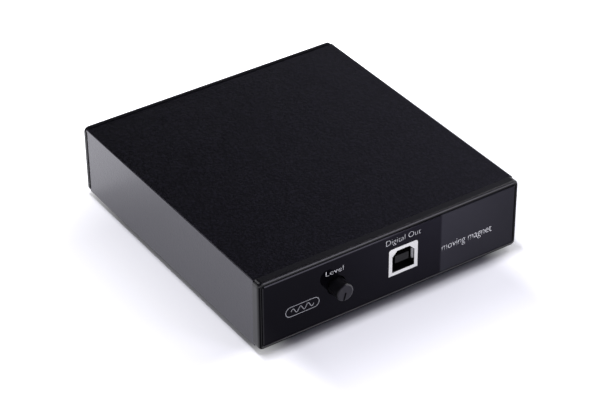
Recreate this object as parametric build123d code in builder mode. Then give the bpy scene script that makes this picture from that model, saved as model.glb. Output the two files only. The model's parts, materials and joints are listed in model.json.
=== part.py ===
from build123d import *
import math
import os
from itertools import product

os.makedirs("parts", exist_ok=True)

# A small phono preamplifier in an extruded case, in millimetres.
# +Z is up, -Y is the front with the level knob, +X is to the right of someone facing the front.
# The origin is on the surface it stands on, under the middle of the whole object.

# ---- Driving dimensions -------------------------------------------------------------------

# Case
case_width = 100.0
case_depth = 107.0
case_height = 25.4
foot_height = 1.5
foot_radius = 4.5
foot_inset_x = 12.0
foot_inset_y = 13.0
foot_edge_chamfer = 0.4

# Extruded sleeve
end_step = 0.2  # how far both bezels stand proud of the sleeve
sleeve_wall = 1.6
sleeve_outer_radius = 0.4
sleeve_inner_radius = 0.6
screw_port_radius = 1.95
screw_port_bore = 1.25
screw_port_bite = 0.25  # how far a screw port runs into the walls beside it
card_ledge_reach = 3.2
card_ledge_thickness = 1.2

# Front bezel and fascia
front_flange = 3.2
front_corner_radius = 1.8
front_edge_radius = 1.0
rim_width = 1.3
rim_inner_radius = 0.9
rim_inner_edge_radius = 0.25
panel_gap = 0.2
panel_thickness = 1.0
panel_step = 0.2  # how far the fascia stands proud of its bezel
panel_edge_chamfer = 0.3
adhesive_thickness = 0.15
adhesive_inset = 1.2
adhesive_cutout_clearance = 1.0
locating_rib_thickness = 1.2
locating_rib_depth = 3.0
locating_rib_length = 56.0
rib_clearance = 0.15

# Rear bezel and panel
rear_flange = 1.6
rear_corner_radius = 1.8
rear_edge_radius = 0.4
rear_lip = 0.4
rear_lip_width = 0.9
rear_panel_thickness = 1.0

# Case screws
screw_shank_radius = 1.2
screw_hole_radius = 1.5
screw_length = 8.0
screw_head_radius = 2.2
pan_head_radius = 2.0
pan_head_height = 1.5
pan_head_edge_radius = 0.5
cross_slot_length = 2.6
cross_slot_width = 0.6
cross_slot_depth = 0.8

# Circuit board
board_thickness = 1.6
board_port_gap = 0.2  # above the lower screw ports
board_front_gap = 2.0
board_rear_gap = 1.0
board_side_clearance = 0.3
board_slot_clearance = 0.1
lead_radius = 0.4
lead_hole_radius = 0.55
lead_reach = 1.2  # below the board
press_fit_clearance = 0.01

# Level control
knob_radius = 3.05
knob_projection = 5.0
knob_edge_radius = 0.6
knob_inset = 28.6  # from the case's left side
knob_shaft_height = 6.35  # above the board
knob_rear_depth = 5.2  # behind the case's front plane
knob_hole_clearance = 0.4
pointer_width = 0.7
pointer_depth = 0.5
pointer_angle = 195.0  # clockwise from the top, seen from the front
shaft_radius = 2.0
shaft_clearance = 0.05
shaft_in_knob = 5.0
control_width = 10.0
control_height = 11.4
control_depth = 6.5
control_front_depth = 8.6
control_wall = 1.3
bushing_radius = 3.3
bushing_length = 2.6
control_cover_thickness = 0.8
wiper_radius = 3.3
wiper_clearance = 0.5  # round the wiper, inside the control
wiper_gap = 1.2  # between the wiper and the chamber's front wall
wiper_thickness = 0.9
wiper_finger = (1.4, 0.8, 0.6)
wiper_finger_offset = 2.3
wiper_pin_radius = 1.1
wiper_pin_overrun = 0.6
terminal_pitch = 2.5
terminal_width = 0.9
terminal_thickness = 0.5
terminal_rise = 2.0  # above the board
terminal_inset = 1.0  # from the control's back

# Square data port
port_width = 11.2
port_height = 10.3
port_length = 16.0
port_x = 4.1  # from the middle of the case
port_axis_height = 6.1  # above the board
port_proud = 0.1
port_face_thickness = 0.5
port_wall = 0.35
port_outer_radius = 1.0
port_inner_radius = 0.5
port_opening_width = 8.6
port_opening_height = 7.9
port_opening_chamfer = 1.9
port_cavity_depth = 9.0
port_cutout_clearance = 0.15
tongue_width = 5.2
tongue_height = 2.7
tongue_recess = 0.8
port_contact_pitch = 2.5
port_contact_width = 1.0
port_contact_thickness = 0.3
port_contact_recess = 0.8
port_tail_insets = (0.7, 2.7)  # upper and lower contacts, from the port's back
spring_height = 3.8
spring_length = 4.0
spring_thickness = 0.3
spring_bulge = 0.5  # into the opening
spring_crest = 0.7  # how far back the bulge is highest
port_leg_width = 2.2
port_leg_inset = 9.6  # from the port's face
port_leg_overlap = 1.0  # up the shell's side
port_leg_clearance = 0.2
port_floor_opening = (9.8, 4.5)  # the shell has no floor over its last stretch
port_foot = (9.0, 4.0)  # where the insulator stands on the board

# Phono sockets
jack_projection = 9.0  # beyond the rear panel
jack_pitch = 14.0
jack_axis_height = 6.0  # above the board
jack_shell_radius = 4.15
jack_shell_wall = 0.35
jack_rim_chamfer = 0.2
jack_root_step = 0.2  # the root is this much slimmer than the shell
jack_root_wall = 0.6
jack_root_length = 5.0
jack_boss_wall = 0.95  # round the root
jack_boss_proud = 0.4
jack_hole_clearance = 0.1
jack_core_clearance = 0.05
jack_core_recess = 0.5
jack_mouth_chamfer = 0.4
jack_contact_outer = 1.95
jack_contact_bore = 1.62
jack_contact_recess = 1.0
jack_contact_depth = 9.0
jack_housing_width = 28.0
jack_housing_height = 12.2
jack_housing_depth = 10.0
jack_housing_corner = 0.6
jack_tail_inset = 1.5  # from the housing's back
input_inset = 22.0  # from the case's right side to the middle of the pair
output_spacing = 40.0  # from the middle of the input pair

# Ground terminal
ground_spacing = 20.0  # from the middle of the input pair
stud_radius = 1.95
stud_projection = 8.4
stud_clearance = 0.05
stud_hole_clearance = 0.15
stud_chamfer = 0.4
stud_head_radius = 4.0
stud_head_thickness = 2.4
lock_nut_flats = 7.0
lock_nut_thickness = 2.0
washer_radius = 4.3
washer_thickness = 0.5
thumb_nut_radius = 4.4
thumb_nut_length = 4.6
thumb_nut_chamfer = 0.5
knurl_count = 30
knurl_radius = 0.22

# Power socket
power_inset = 12.5  # from the case's left side
power_width = 9.0
power_height = 11.0
power_length = 13.0
power_axis_height = 6.4
power_mouth_radius = 3.15
power_mouth_depth = 9.5
power_collar_radius = 4.2
power_pin_radius = 1.0
power_pin_length = 8.4
power_pin_root_radius = 1.5
power_pin_tip_radius = 0.5
power_pin_tail_inset = 1.2  # from the housing's front
power_spring_width = 2.4
power_spring_length = 5.0
power_spring_thickness = 0.3
power_spring_inset = 3.0  # from the mouth's floor

# Strap from the ground stud to the board
strap_thickness = 0.5
strap_width = 5.0
strap_foot = 3.0

# Components on the board
supply_can_radius = 4.0
supply_can_height = 11.5
supply_can_top_radius = 0.5
supply_can_pitch = 3.5
supply_can_spots = [(-38.0, 10.0), (-38.0, -2.0), (-28.5, 4.0)]
film_body = (7.2, 3.0, 6.5)
film_edge_radius = 0.4
film_lead_pitch = 5.0
film_spots = {"left": (20.0, 12.0), "right": (34.0, 12.0)}
chip_standoff = 0.1
chip_leg_reach = 1.0
amplifier_body = (5.0, 4.0, 1.6)
amplifier_leg_count = 4
amplifier_leg_pitch = 1.27
amplifier_leg_section = (0.4, 0.3)
amplifier_spots = {"left": (20.0, 2.0), "right": (34.0, 2.0)}
converter_side = 9.0
converter_height = 1.5
converter_spot = (6.0, -20.0)
converter_leg_count = 12
converter_leg_pitch = 0.73
converter_leg_section = (0.25, 0.2)
crystal_body = (10.8, 4.2, 3.4)
crystal_top_radius = 0.4
crystal_spot = (20.0, -22.0)
regulator_body = (6.6, 6.2, 2.3)
regulator_tab = (5.2, 2.5, 0.5)
regulator_spot = (-24.0, 22.0)
inductor_radius = 3.2
inductor_height = 4.0
inductor_core_radius = 2.4
inductor_flange = 1.0
inductor_spot = (-14.0, 20.0)
resistor_body = (2.0, 1.25, 0.55)
resistor_pitch = 3.4
resistor_rows = 4
resistor_columns = 7
resistor_centre = (24.0, -8.0)
indicator_inset = 16.3  # from the case's left side
indicator_z = 10.2  # above the case's underside
indicator_body = (3.2, 1.6, 1.4)
indicator_window = (9.0, 2.4)

# ---- Derived places -----------------------------------------------------------------------

rear_panel_recess = rear_flange - rear_lip - rear_panel_thickness
front_reach = knob_projection + panel_step
rear_reach = jack_projection - rear_panel_recess
front_y = front_reach - (front_reach + case_depth + rear_reach) / 2
rear_y = front_y + case_depth

case_bottom = foot_height
case_mid = case_bottom + case_height / 2
sleeve_width = case_width - 2 * end_step
sleeve_height = case_height - 2 * end_step
sleeve_front_y = front_y + front_flange
sleeve_rear_y = rear_y - rear_flange
sleeve_length = sleeve_rear_y - sleeve_front_y
inner_width = sleeve_width - 2 * sleeve_wall
inner_height = sleeve_height - 2 * sleeve_wall
inner_floor = case_mid - inner_height / 2

port_inset = screw_port_radius - screw_port_bite
screw_x = inner_width / 2 - port_inset
screw_rise = inner_height / 2 - port_inset
screw_points = [(sx * screw_x, case_mid + sz * screw_rise) for sx in (-1, 1) for sz in (-1, 1)]

board_bottom = inner_floor + 2 * screw_port_radius - screw_port_bite + board_port_gap
board_top = board_bottom + board_thickness
board_width = inner_width - 2 * board_side_clearance
board_front_y = sleeve_front_y + board_front_gap
board_rear_y = sleeve_rear_y - board_rear_gap
board_mid_y = (board_front_y + board_rear_y) / 2

recess_width = case_width - 2 * rim_width
recess_height = case_height - 2 * rim_width
panel_width = recess_width - 2 * panel_gap
panel_height = recess_height - 2 * panel_gap
panel_corner = rim_inner_radius - panel_gap
panel_front_y = front_y - panel_step
panel_back_y = panel_front_y + panel_thickness
recess_floor_y = panel_back_y + adhesive_thickness

rear_panel_inner_y = sleeve_rear_y + rear_lip
rear_panel_outer_y = rear_panel_inner_y + rear_panel_thickness

knob_x = knob_inset - case_width / 2
knob_z = board_top + knob_shaft_height
knob_front_y = panel_front_y - knob_projection
knob_rear_y = front_y + knob_rear_depth
knob_hole_radius = knob_radius + knob_hole_clearance
shaft_front_y = knob_rear_y - shaft_in_knob
control_front_y = front_y + control_front_depth
control_back_y = control_front_y + control_depth
wiper_front_y = control_front_y + control_wall + wiper_gap

port_z = board_top + port_axis_height
port_front_y = panel_front_y - port_proud
port_back_y = port_front_y + port_length

jack_z = board_top + jack_axis_height
input_x = case_width / 2 - input_inset
output_x = input_x - output_spacing
jack_end_y = rear_panel_outer_y + jack_projection
jack_boss_end_y = rear_panel_outer_y + jack_boss_proud
jack_root_radius = jack_shell_radius - jack_root_step
jack_root_bore = jack_root_radius - jack_root_wall
jack_core_radius = jack_shell_radius - jack_shell_wall - jack_core_clearance
jack_boss_radius = jack_root_radius + jack_boss_wall
jack_hole_radius = jack_boss_radius + jack_hole_clearance
jack_places = {
    "input_left": input_x - jack_pitch / 2,
    "input_right": input_x + jack_pitch / 2,
    "output_left": output_x - jack_pitch / 2,
    "output_right": output_x + jack_pitch / 2,
}
jack_housing_back_y = rear_panel_inner_y - jack_housing_depth
jack_tail_y = jack_housing_back_y + jack_tail_inset

ground_x = input_x - ground_spacing
ground_z = jack_z
stud_end_y = rear_panel_outer_y + stud_projection
lock_nut_end_y = rear_panel_outer_y + lock_nut_thickness
washer_end_y = lock_nut_end_y + washer_thickness
thumb_nut_end_y = washer_end_y + thumb_nut_length

power_x = power_inset - case_width / 2
power_z = board_top + power_axis_height
power_front_y = rear_panel_inner_y - power_length
power_floor_y = rear_panel_outer_y - power_mouth_depth

indicator_x = indicator_inset - case_width / 2
lamp_z = case_bottom + indicator_z

supply_leads = [(x + s * supply_can_pitch / 2, y) for x, y in supply_can_spots for s in (-1, 1)]
film_leads = [(x + s * film_lead_pitch / 2, y) for x, y in film_spots.values() for s in (-1, 1)]
level_leads = [(knob_x + s * terminal_pitch, control_back_y - terminal_inset) for s in (-1, 0, 1)]
jack_leads = [(x, jack_tail_y) for x in jack_places.values()]
port_contact_x = [port_x + s * port_contact_pitch / 2 for s in (-1, 1)]
port_tail_y = [port_back_y - inset for inset in port_tail_insets]
port_leads = list(product(port_contact_x, port_tail_y))
power_pin_tail_y = power_front_y + power_pin_tail_inset
power_spring_y = power_floor_y + power_spring_inset
power_leads = [(power_x, power_pin_tail_y), (power_x, power_spring_y)]
board_leads = supply_leads + film_leads + level_leads + jack_leads + port_leads + power_leads
leg_y = port_front_y + port_leg_inset
leg_x = [port_x + s * (port_width - port_wall) / 2 for s in (-1, 1)]


def upright(y):
    """A plane across the case at y, seen from the front: its x is +X and its y is +Z."""
    return Plane.XZ.offset(-y)


def rearward(x, y, z):
    """A place for round tools whose axis runs from the front to the rear."""
    return Plane(origin=(x, y, z), x_dir=(1, 0, 0), z_dir=(0, 1, 0))


def save(builder, name):
    """Label a finished piece and write its file."""
    builder.part.label = name
    export_step(builder.part, f"parts/{name}.step")


# ---- Case ---------------------------------------------------------------------------------

# An aluminium tube with a screw port in each corner and a slot on each side for the board.
with BuildPart() as case_sleeve:
    with BuildSketch(upright(sleeve_front_y)):
        with Locations((0, case_mid)):
            RectangleRounded(sleeve_width, sleeve_height, sleeve_outer_radius)
            RectangleRounded(inner_width, inner_height, sleeve_inner_radius, mode=Mode.SUBTRACT)
        with Locations(*screw_points):
            Circle(screw_port_radius)
        for side in (-1, 1):
            ledge_x = side * (inner_width / 2 - card_ledge_reach / 2)
            lower_z = board_bottom - board_slot_clearance - card_ledge_thickness / 2
            upper_z = board_top + board_slot_clearance + card_ledge_thickness / 2
            with Locations((ledge_x, lower_z), (ledge_x, upper_z)):
                Rectangle(card_ledge_reach, card_ledge_thickness)
        with Locations(*screw_points):
            Circle(screw_port_bore, mode=Mode.SUBTRACT)
    extrude(amount=-sleeve_length)
save(case_sleeve, "case_sleeve")

# The moulded front frame: a rounded rim, a recess for the fascia, and a wall that takes the screws.
with BuildPart() as front_bezel:
    with BuildSketch(upright(front_y)):
        with Locations((0, case_mid)):
            RectangleRounded(case_width, case_height, front_corner_radius)
    extrude(amount=-front_flange)
    fillet(front_bezel.edges().group_by(Axis.Y)[0], front_edge_radius)
    with BuildSketch(upright(front_y)):
        with Locations((0, case_mid)):
            RectangleRounded(recess_width, recess_height, rim_inner_radius)
    extrude(amount=-(recess_floor_y - front_y), mode=Mode.SUBTRACT)
    recess_rim = front_bezel.faces().filter_by(Plane.XZ).sort_by(Axis.Y)[0].inner_wires()
    fillet(recess_rim.edges(), rim_inner_edge_radius)
    with BuildSketch(upright(recess_floor_y)):
        with Locations((port_x, port_z)):
            Rectangle(port_width + 2 * port_cutout_clearance, port_height + 2 * port_cutout_clearance)
        with Locations((knob_x, knob_z)):
            Circle(knob_hole_radius)
        with Locations((indicator_x, lamp_z)):
            Rectangle(*indicator_window)
    extrude(amount=-front_flange, mode=Mode.SUBTRACT)
    with BuildSketch(upright(sleeve_front_y)):
        rib_z = inner_height / 2 - rib_clearance - locating_rib_thickness / 2
        with Locations((0, case_mid - rib_z), (0, case_mid + rib_z)):
            Rectangle(locating_rib_length, locating_rib_thickness)
    extrude(amount=-locating_rib_depth)
    with Locations([Plane(origin=(x, recess_floor_y, z), z_dir=(0, -1, 0)) for x, z in screw_points]):
        CounterSinkHole(screw_hole_radius, screw_head_radius, depth=front_flange, counter_sink_angle=90)
save(front_bezel, "front_bezel")

# The cross-shaped slot in every screw's head.
with BuildSketch() as cross_slot:
    Rectangle(cross_slot_length, cross_slot_width)
    Rectangle(cross_slot_width, cross_slot_length)

# Countersunk screws that hold the front bezel on the sleeve, under the fascia.
head_height = screw_head_radius - screw_shank_radius
with BuildPart() as front_screws:
    for x, z in screw_points:
        with Locations(rearward(x, recess_floor_y, z)):
            Cylinder(screw_shank_radius, screw_length, align=(Align.CENTER, Align.CENTER, Align.MIN))
            Cone(
                screw_head_radius,
                screw_shank_radius,
                head_height,
                align=(Align.CENTER, Align.CENTER, Align.MIN),
            )
    with BuildSketch(upright(recess_floor_y)):
        with Locations(*screw_points):
            add(cross_slot.sketch)
    extrude(amount=-cross_slot_depth, mode=Mode.SUBTRACT)
save(front_screws, "front_screws")

# The sheet of adhesive between the fascia and the bezel's wall.
with BuildPart() as panel_adhesive:
    with BuildSketch(upright(panel_back_y)):
        with Locations((0, case_mid)):
            Rectangle(panel_width - 2 * adhesive_inset, panel_height - 2 * adhesive_inset)
        with Locations((port_x, port_z)):
            port_cutout = [side + 2 * adhesive_cutout_clearance for side in (port_width, port_height)]
            Rectangle(*port_cutout, mode=Mode.SUBTRACT)
        with Locations((knob_x, knob_z)):
            Circle(knob_hole_radius + adhesive_cutout_clearance, mode=Mode.SUBTRACT)
        with Locations((indicator_x, lamp_z)):
            lamp_cutout = [side + 2 * adhesive_cutout_clearance for side in indicator_window]
            Rectangle(*lamp_cutout, mode=Mode.SUBTRACT)
    extrude(amount=-adhesive_thickness)
save(panel_adhesive, "panel_adhesive")

# The gloss fascia, with a bevelled edge, a window for the data port and a hole for the knob.
with BuildPart() as front_panel:
    with BuildSketch(upright(panel_front_y)):
        with Locations((0, case_mid)):
            RectangleRounded(panel_width, panel_height, panel_corner)
    extrude(amount=-panel_thickness)
    chamfer(front_panel.edges().group_by(Axis.Y)[0], panel_edge_chamfer)
    with BuildSketch(upright(panel_front_y)) as port_window:
        with Locations((port_x, port_z)):
            Rectangle(port_width + 2 * port_cutout_clearance, port_height + 2 * port_cutout_clearance)
        fillet(port_window.vertices().group_by(Axis.Y)[-1], port_outer_radius)
    extrude(amount=-panel_thickness, mode=Mode.SUBTRACT)
    with BuildSketch(upright(panel_front_y)):
        with Locations((knob_x, knob_z)):
            Circle(knob_hole_radius)
    extrude(amount=-panel_thickness, mode=Mode.SUBTRACT)
save(front_panel, "front_panel")

# The thin moulded frame round the rear panel, with a lip that the panel clamps on the sleeve.
with BuildPart() as rear_bezel:
    with BuildSketch(upright(rear_y)):
        with Locations((0, case_mid)):
            RectangleRounded(case_width, case_height, rear_corner_radius)
    extrude(amount=rear_flange)
    fillet(rear_bezel.edges().group_by(Axis.Y)[-1], rear_edge_radius)
    with BuildSketch(upright(rear_y)):
        with Locations((0, case_mid)):
            RectangleRounded(recess_width, recess_height, rim_inner_radius)
    extrude(amount=rear_flange - rear_lip, mode=Mode.SUBTRACT)
    with BuildSketch(upright(rear_panel_inner_y)):
        with Locations((0, case_mid)):
            Rectangle(recess_width - 2 * rear_lip_width, recess_height - 2 * rear_lip_width)
        with Locations(*screw_points):
            Circle(screw_port_radius)
    extrude(amount=rear_lip, mode=Mode.SUBTRACT)
save(rear_bezel, "rear_bezel")

# The rear panel, with a hole for each socket, the ground stud and the four screws.
with BuildPart() as rear_panel:
    with BuildSketch(upright(rear_panel_outer_y)):
        with Locations((0, case_mid)):
            RectangleRounded(panel_width, panel_height, panel_corner)
        with Locations(*[(x, jack_z) for x in jack_places.values()]):
            Circle(jack_hole_radius, mode=Mode.SUBTRACT)
        with Locations((ground_x, ground_z)):
            Circle(stud_radius + stud_hole_clearance, mode=Mode.SUBTRACT)
        with Locations((power_x, power_z)):
            Circle(power_collar_radius + jack_hole_clearance, mode=Mode.SUBTRACT)
        with Locations(*screw_points):
            Circle(screw_hole_radius, mode=Mode.SUBTRACT)
    extrude(amount=rear_panel_thickness)
save(rear_panel, "rear_panel")

# Pan-head screws that hold the rear panel and bezel on the sleeve.
with BuildPart() as rear_screws:
    for x, z in screw_points:
        with Locations(rearward(x, rear_panel_outer_y, z)):
            Cylinder(screw_shank_radius, screw_length, align=(Align.CENTER, Align.CENTER, Align.MAX))
            Cylinder(pan_head_radius, pan_head_height, align=(Align.CENTER, Align.CENTER, Align.MIN))
    fillet(rear_screws.edges().group_by(Axis.Y)[-1], pan_head_edge_radius)
    with BuildSketch(upright(rear_panel_outer_y + pan_head_height)):
        with Locations(*screw_points):
            add(cross_slot.sketch)
    extrude(amount=cross_slot_depth, mode=Mode.SUBTRACT)
save(rear_screws, "rear_screws")

# Four stick-on rubber feet.
foot_x = case_width / 2 - foot_inset_x
foot_places = {
    "front_left_foot": (-foot_x, front_y + foot_inset_y),
    "front_right_foot": (foot_x, front_y + foot_inset_y),
    "rear_left_foot": (-foot_x, rear_y - foot_inset_y),
    "rear_right_foot": (foot_x, rear_y - foot_inset_y),
}
for name, place in foot_places.items():
    with BuildPart() as foot:
        with BuildSketch(Plane.XY):
            with Locations(place):
                Circle(foot_radius)
        extrude(amount=foot_height + end_step)
        chamfer(foot.edges().group_by(Axis.Z)[0], foot_edge_chamfer)
    save(foot, name)

# ---- Circuit board ------------------------------------------------------------------------

with BuildPart() as main_board:
    with BuildSketch(Plane.XY.offset(board_bottom)):
        with Locations((0, board_mid_y)):
            Rectangle(board_width, board_rear_y - board_front_y)
        with Locations(*board_leads):
            Circle(lead_hole_radius, mode=Mode.SUBTRACT)
        with Locations(*[(x, leg_y) for x in leg_x]):
            leg_slot = [side + 2 * port_leg_clearance for side in (port_wall, port_leg_width)]
            Rectangle(*leg_slot, mode=Mode.SUBTRACT)
    extrude(amount=board_thickness)
save(main_board, "main_board")

lead_length = board_thickness + lead_reach

# Supply capacitors: upright cans on two leads.
for number, (x, y) in enumerate(supply_can_spots, start=1):
    with BuildPart() as can:
        with BuildSketch(Plane.XY.offset(board_top)):
            with Locations((x, y)):
                Circle(supply_can_radius)
        extrude(amount=supply_can_height)
        fillet(can.edges().group_by(Axis.Z)[-1], supply_can_top_radius)
        with BuildSketch(Plane.XY.offset(board_top)):
            with Locations(*[(x + s * supply_can_pitch / 2, y) for s in (-1, 1)]):
                Circle(lead_radius)
        extrude(amount=-lead_length)
    save(can, f"supply_capacitor_{number}")

# Film capacitors: a small box on two leads for each channel.
for channel, (x, y) in film_spots.items():
    with BuildPart() as film:
        with BuildSketch(Plane.XY.offset(board_top)):
            with Locations((x, y)):
                Rectangle(film_body[0], film_body[1])
        extrude(amount=film_body[2])
        fillet(film.edges().filter_by(Axis.Z), film_edge_radius)
        with BuildSketch(Plane.XY.offset(board_top)):
            with Locations(*[(x + s * film_lead_pitch / 2, y) for s in (-1, 1)]):
                Circle(lead_radius)
        extrude(amount=-lead_length)
    save(film, f"film_capacitor_{channel}")

# Amplifier chips: one for each channel, with four legs on each side.
for channel, (x, y) in amplifier_spots.items():
    with BuildPart() as chip:
        with Locations((x, y, board_top + chip_standoff)):
            Box(*amplifier_body, align=(Align.CENTER, Align.CENTER, Align.MIN))
        with Locations((x, y, board_top)):
            with GridLocations(amplifier_leg_pitch, 0, amplifier_leg_count, 1):
                width, thickness = amplifier_leg_section
                span = amplifier_body[1] + 2 * chip_leg_reach
                Box(width, span, thickness, align=(Align.CENTER, Align.CENTER, Align.MIN))
    save(chip, f"amplifier_chip_{channel}")

# The converter chip: a flat square with legs on all four sides.
with BuildPart() as converter_chip:
    with Locations((*converter_spot, board_top + chip_standoff)):
        Box(converter_side, converter_side, converter_height, align=(Align.CENTER, Align.CENTER, Align.MIN))
    with Locations((*converter_spot, board_top)):
        width, thickness = converter_leg_section
        span = converter_side + 2 * chip_leg_reach
        with GridLocations(converter_leg_pitch, 0, converter_leg_count, 1):
            Box(width, span, thickness, align=(Align.CENTER, Align.CENTER, Align.MIN))
        with GridLocations(0, converter_leg_pitch, 1, converter_leg_count):
            Box(span, width, thickness, align=(Align.CENTER, Align.CENTER, Align.MIN))
save(converter_chip, "converter_chip")

with BuildPart() as clock_crystal:
    with BuildSketch(Plane.XY.offset(board_top)):
        with Locations(crystal_spot):
            SlotOverall(crystal_body[0], crystal_body[1])
    extrude(amount=crystal_body[2])
    fillet(clock_crystal.edges().group_by(Axis.Z)[-1], crystal_top_radius)
save(clock_crystal, "clock_crystal")

with BuildPart() as voltage_regulator:
    with Locations((*regulator_spot, board_top)):
        Box(*regulator_body, align=(Align.CENTER, Align.CENTER, Align.MIN))
    with Locations((regulator_spot[0], regulator_spot[1] + regulator_body[1] / 2, board_top)):
        Box(*regulator_tab, align=(Align.CENTER, Align.MIN, Align.MIN))
save(voltage_regulator, "voltage_regulator")

with BuildPart() as filter_inductor:
    with BuildSketch(Plane.XY.offset(board_top)):
        with Locations(inductor_spot):
            Circle(inductor_radius)
    extrude(amount=inductor_height)
    with BuildSketch(Plane.XY.offset(board_top + inductor_flange)):
        with Locations(inductor_spot):
            Circle(inductor_radius)
            Circle(inductor_core_radius, mode=Mode.SUBTRACT)
    extrude(amount=inductor_height - 2 * inductor_flange, mode=Mode.SUBTRACT)
save(filter_inductor, "filter_inductor")

with BuildPart() as chip_resistors:
    with Locations((*resistor_centre, board_top)):
        with GridLocations(resistor_pitch, resistor_pitch, resistor_columns, resistor_rows):
            Box(*resistor_body, align=(Align.CENTER, Align.CENTER, Align.MIN))
save(chip_resistors, "chip_resistors")

# The indicator lamp lies on the board's front edge on a short post, behind a window in the bezel.
with BuildPart() as indicator_lamp:
    lamp_width, lamp_depth, lamp_height = indicator_body
    lamp_y = board_front_y + lamp_depth
    with Locations((indicator_x, lamp_y, board_top)):
        Box(lamp_width, lamp_depth, lamp_z - board_top, align=(Align.CENTER, Align.CENTER, Align.MIN))
    with Locations((indicator_x, lamp_y, lamp_z)):
        Box(lamp_width, lamp_depth, lamp_height)
    with Locations(rearward(indicator_x, lamp_y - lamp_depth / 2, lamp_z)):
        Sphere(lamp_height / 2)
save(indicator_lamp, "indicator_lamp")

# ---- Level control ------------------------------------------------------------------------

# The slim knob: a plain rod with a rounded end, a pointer groove and a blind hole for the shaft.
pointer_turn = math.radians(pointer_angle)
pointer_length = knob_radius * 1.1  # past the axis at one end and past the rim at the other
pointer_middle = (
    knob_x + knob_radius / 2 * math.sin(pointer_turn),
    knob_z + knob_radius / 2 * math.cos(pointer_turn),
)
with BuildPart() as level_knob:
    with BuildSketch(upright(knob_front_y)):
        with Locations((knob_x, knob_z)):
            Circle(knob_radius)
    extrude(amount=-(knob_rear_y - knob_front_y))
    fillet(level_knob.edges().group_by(Axis.Y)[0], knob_edge_radius)
    with BuildSketch(upright(knob_front_y)):
        with Locations(Location((*pointer_middle, 0), (0, 0, -pointer_angle))):
            Rectangle(pointer_width, pointer_length)
    extrude(amount=-pointer_depth, mode=Mode.SUBTRACT)
    with BuildSketch(upright(knob_rear_y)):
        with Locations((knob_x, knob_z)):
            Circle(shaft_radius + press_fit_clearance)
    extrude(amount=shaft_in_knob, mode=Mode.SUBTRACT)
save(level_knob, "level_knob")

# The control's shaft, which narrows to a pin that carries the wiper.
with BuildPart() as level_shaft:
    with BuildSketch(upright(shaft_front_y)):
        with Locations((knob_x, knob_z)):
            Circle(shaft_radius)
    extrude(amount=-(wiper_front_y - shaft_front_y))
    with BuildSketch(upright(wiper_front_y)):
        with Locations((knob_x, knob_z)):
            Circle(wiper_pin_radius)
    extrude(amount=-(wiper_thickness + wiper_pin_overrun))
save(level_shaft, "level_shaft")

with BuildPart() as level_wiper:
    with BuildSketch(upright(wiper_front_y)):
        with Locations((knob_x, knob_z)):
            Circle(wiper_radius)
            Circle(wiper_pin_radius + press_fit_clearance, mode=Mode.SUBTRACT)
    extrude(amount=-wiper_thickness)
    with BuildSketch(upright(wiper_front_y + wiper_thickness)):
        with Locations((knob_x, knob_z - wiper_finger_offset)):
            Rectangle(wiper_finger[0], wiper_finger[1])
    extrude(amount=-wiper_finger[2])
save(level_wiper, "level_wiper")

# The control's terminals run out of the cover's foot and down through the board.
with BuildPart() as level_terminals:
    for x, y in level_leads:
        with Locations((x, y, board_bottom - lead_reach)):
            Box(
                terminal_width,
                terminal_thickness,
                lead_length + terminal_rise,
                align=(Align.CENTER, Align.CENTER, Align.MIN),
            )
save(level_terminals, "level_terminals")

# The control's body: a block with a round bushing in front and a round chamber behind.
with BuildPart() as level_control_body:
    with BuildSketch(upright(control_front_y)):
        with Locations((knob_x, board_top + control_height / 2)):
            Rectangle(control_width, control_height)
    extrude(amount=-control_depth)
    with BuildSketch(upright(control_front_y)):
        with Locations((knob_x, knob_z)):
            Circle(bushing_radius)
    extrude(amount=bushing_length)
    with BuildSketch(upright(control_front_y + control_wall)):
        with Locations((knob_x, knob_z)):
            Circle(wiper_radius + wiper_clearance)
    extrude(amount=-control_depth, mode=Mode.SUBTRACT)
    with BuildSketch(upright(control_front_y - bushing_length)):
        with Locations((knob_x, knob_z)):
            Circle(shaft_radius + shaft_clearance)
    extrude(amount=-control_depth, mode=Mode.SUBTRACT)
    add(level_terminals.part, mode=Mode.SUBTRACT)
save(level_control_body, "level_control_body")

with BuildPart() as level_control_cover:
    with BuildSketch(upright(control_back_y)):
        with Locations((knob_x, board_top + control_height / 2)):
            Rectangle(control_width, control_height)
    extrude(amount=-control_cover_thickness)
save(level_control_cover, "level_control_cover")

# ---- Square data port ---------------------------------------------------------------------

# Four contacts, two above and two below the tongue, that run back and down through the board.
with BuildPart() as port_contacts:
    start_y = port_front_y + tongue_recess + port_contact_recess
    for contact_x, (level, tail_y) in product(port_contact_x, zip((1, -1), port_tail_y)):
        contact_z = port_z + level * (tongue_height - port_contact_thickness) / 2
        with Locations((contact_x, start_y, contact_z)):
            Box(
                port_contact_width,
                tail_y - start_y,
                port_contact_thickness,
                align=(Align.CENTER, Align.MIN, Align.CENTER),
            )
        with Locations((contact_x, tail_y, board_bottom - lead_reach)):
            Box(
                lead_radius * 2,
                port_contact_thickness,
                contact_z + port_contact_thickness / 2 - board_bottom + lead_reach,
                align=(Align.CENTER, Align.CENTER, Align.MIN),
            )
save(port_contacts, "data_port_contacts")

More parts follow.
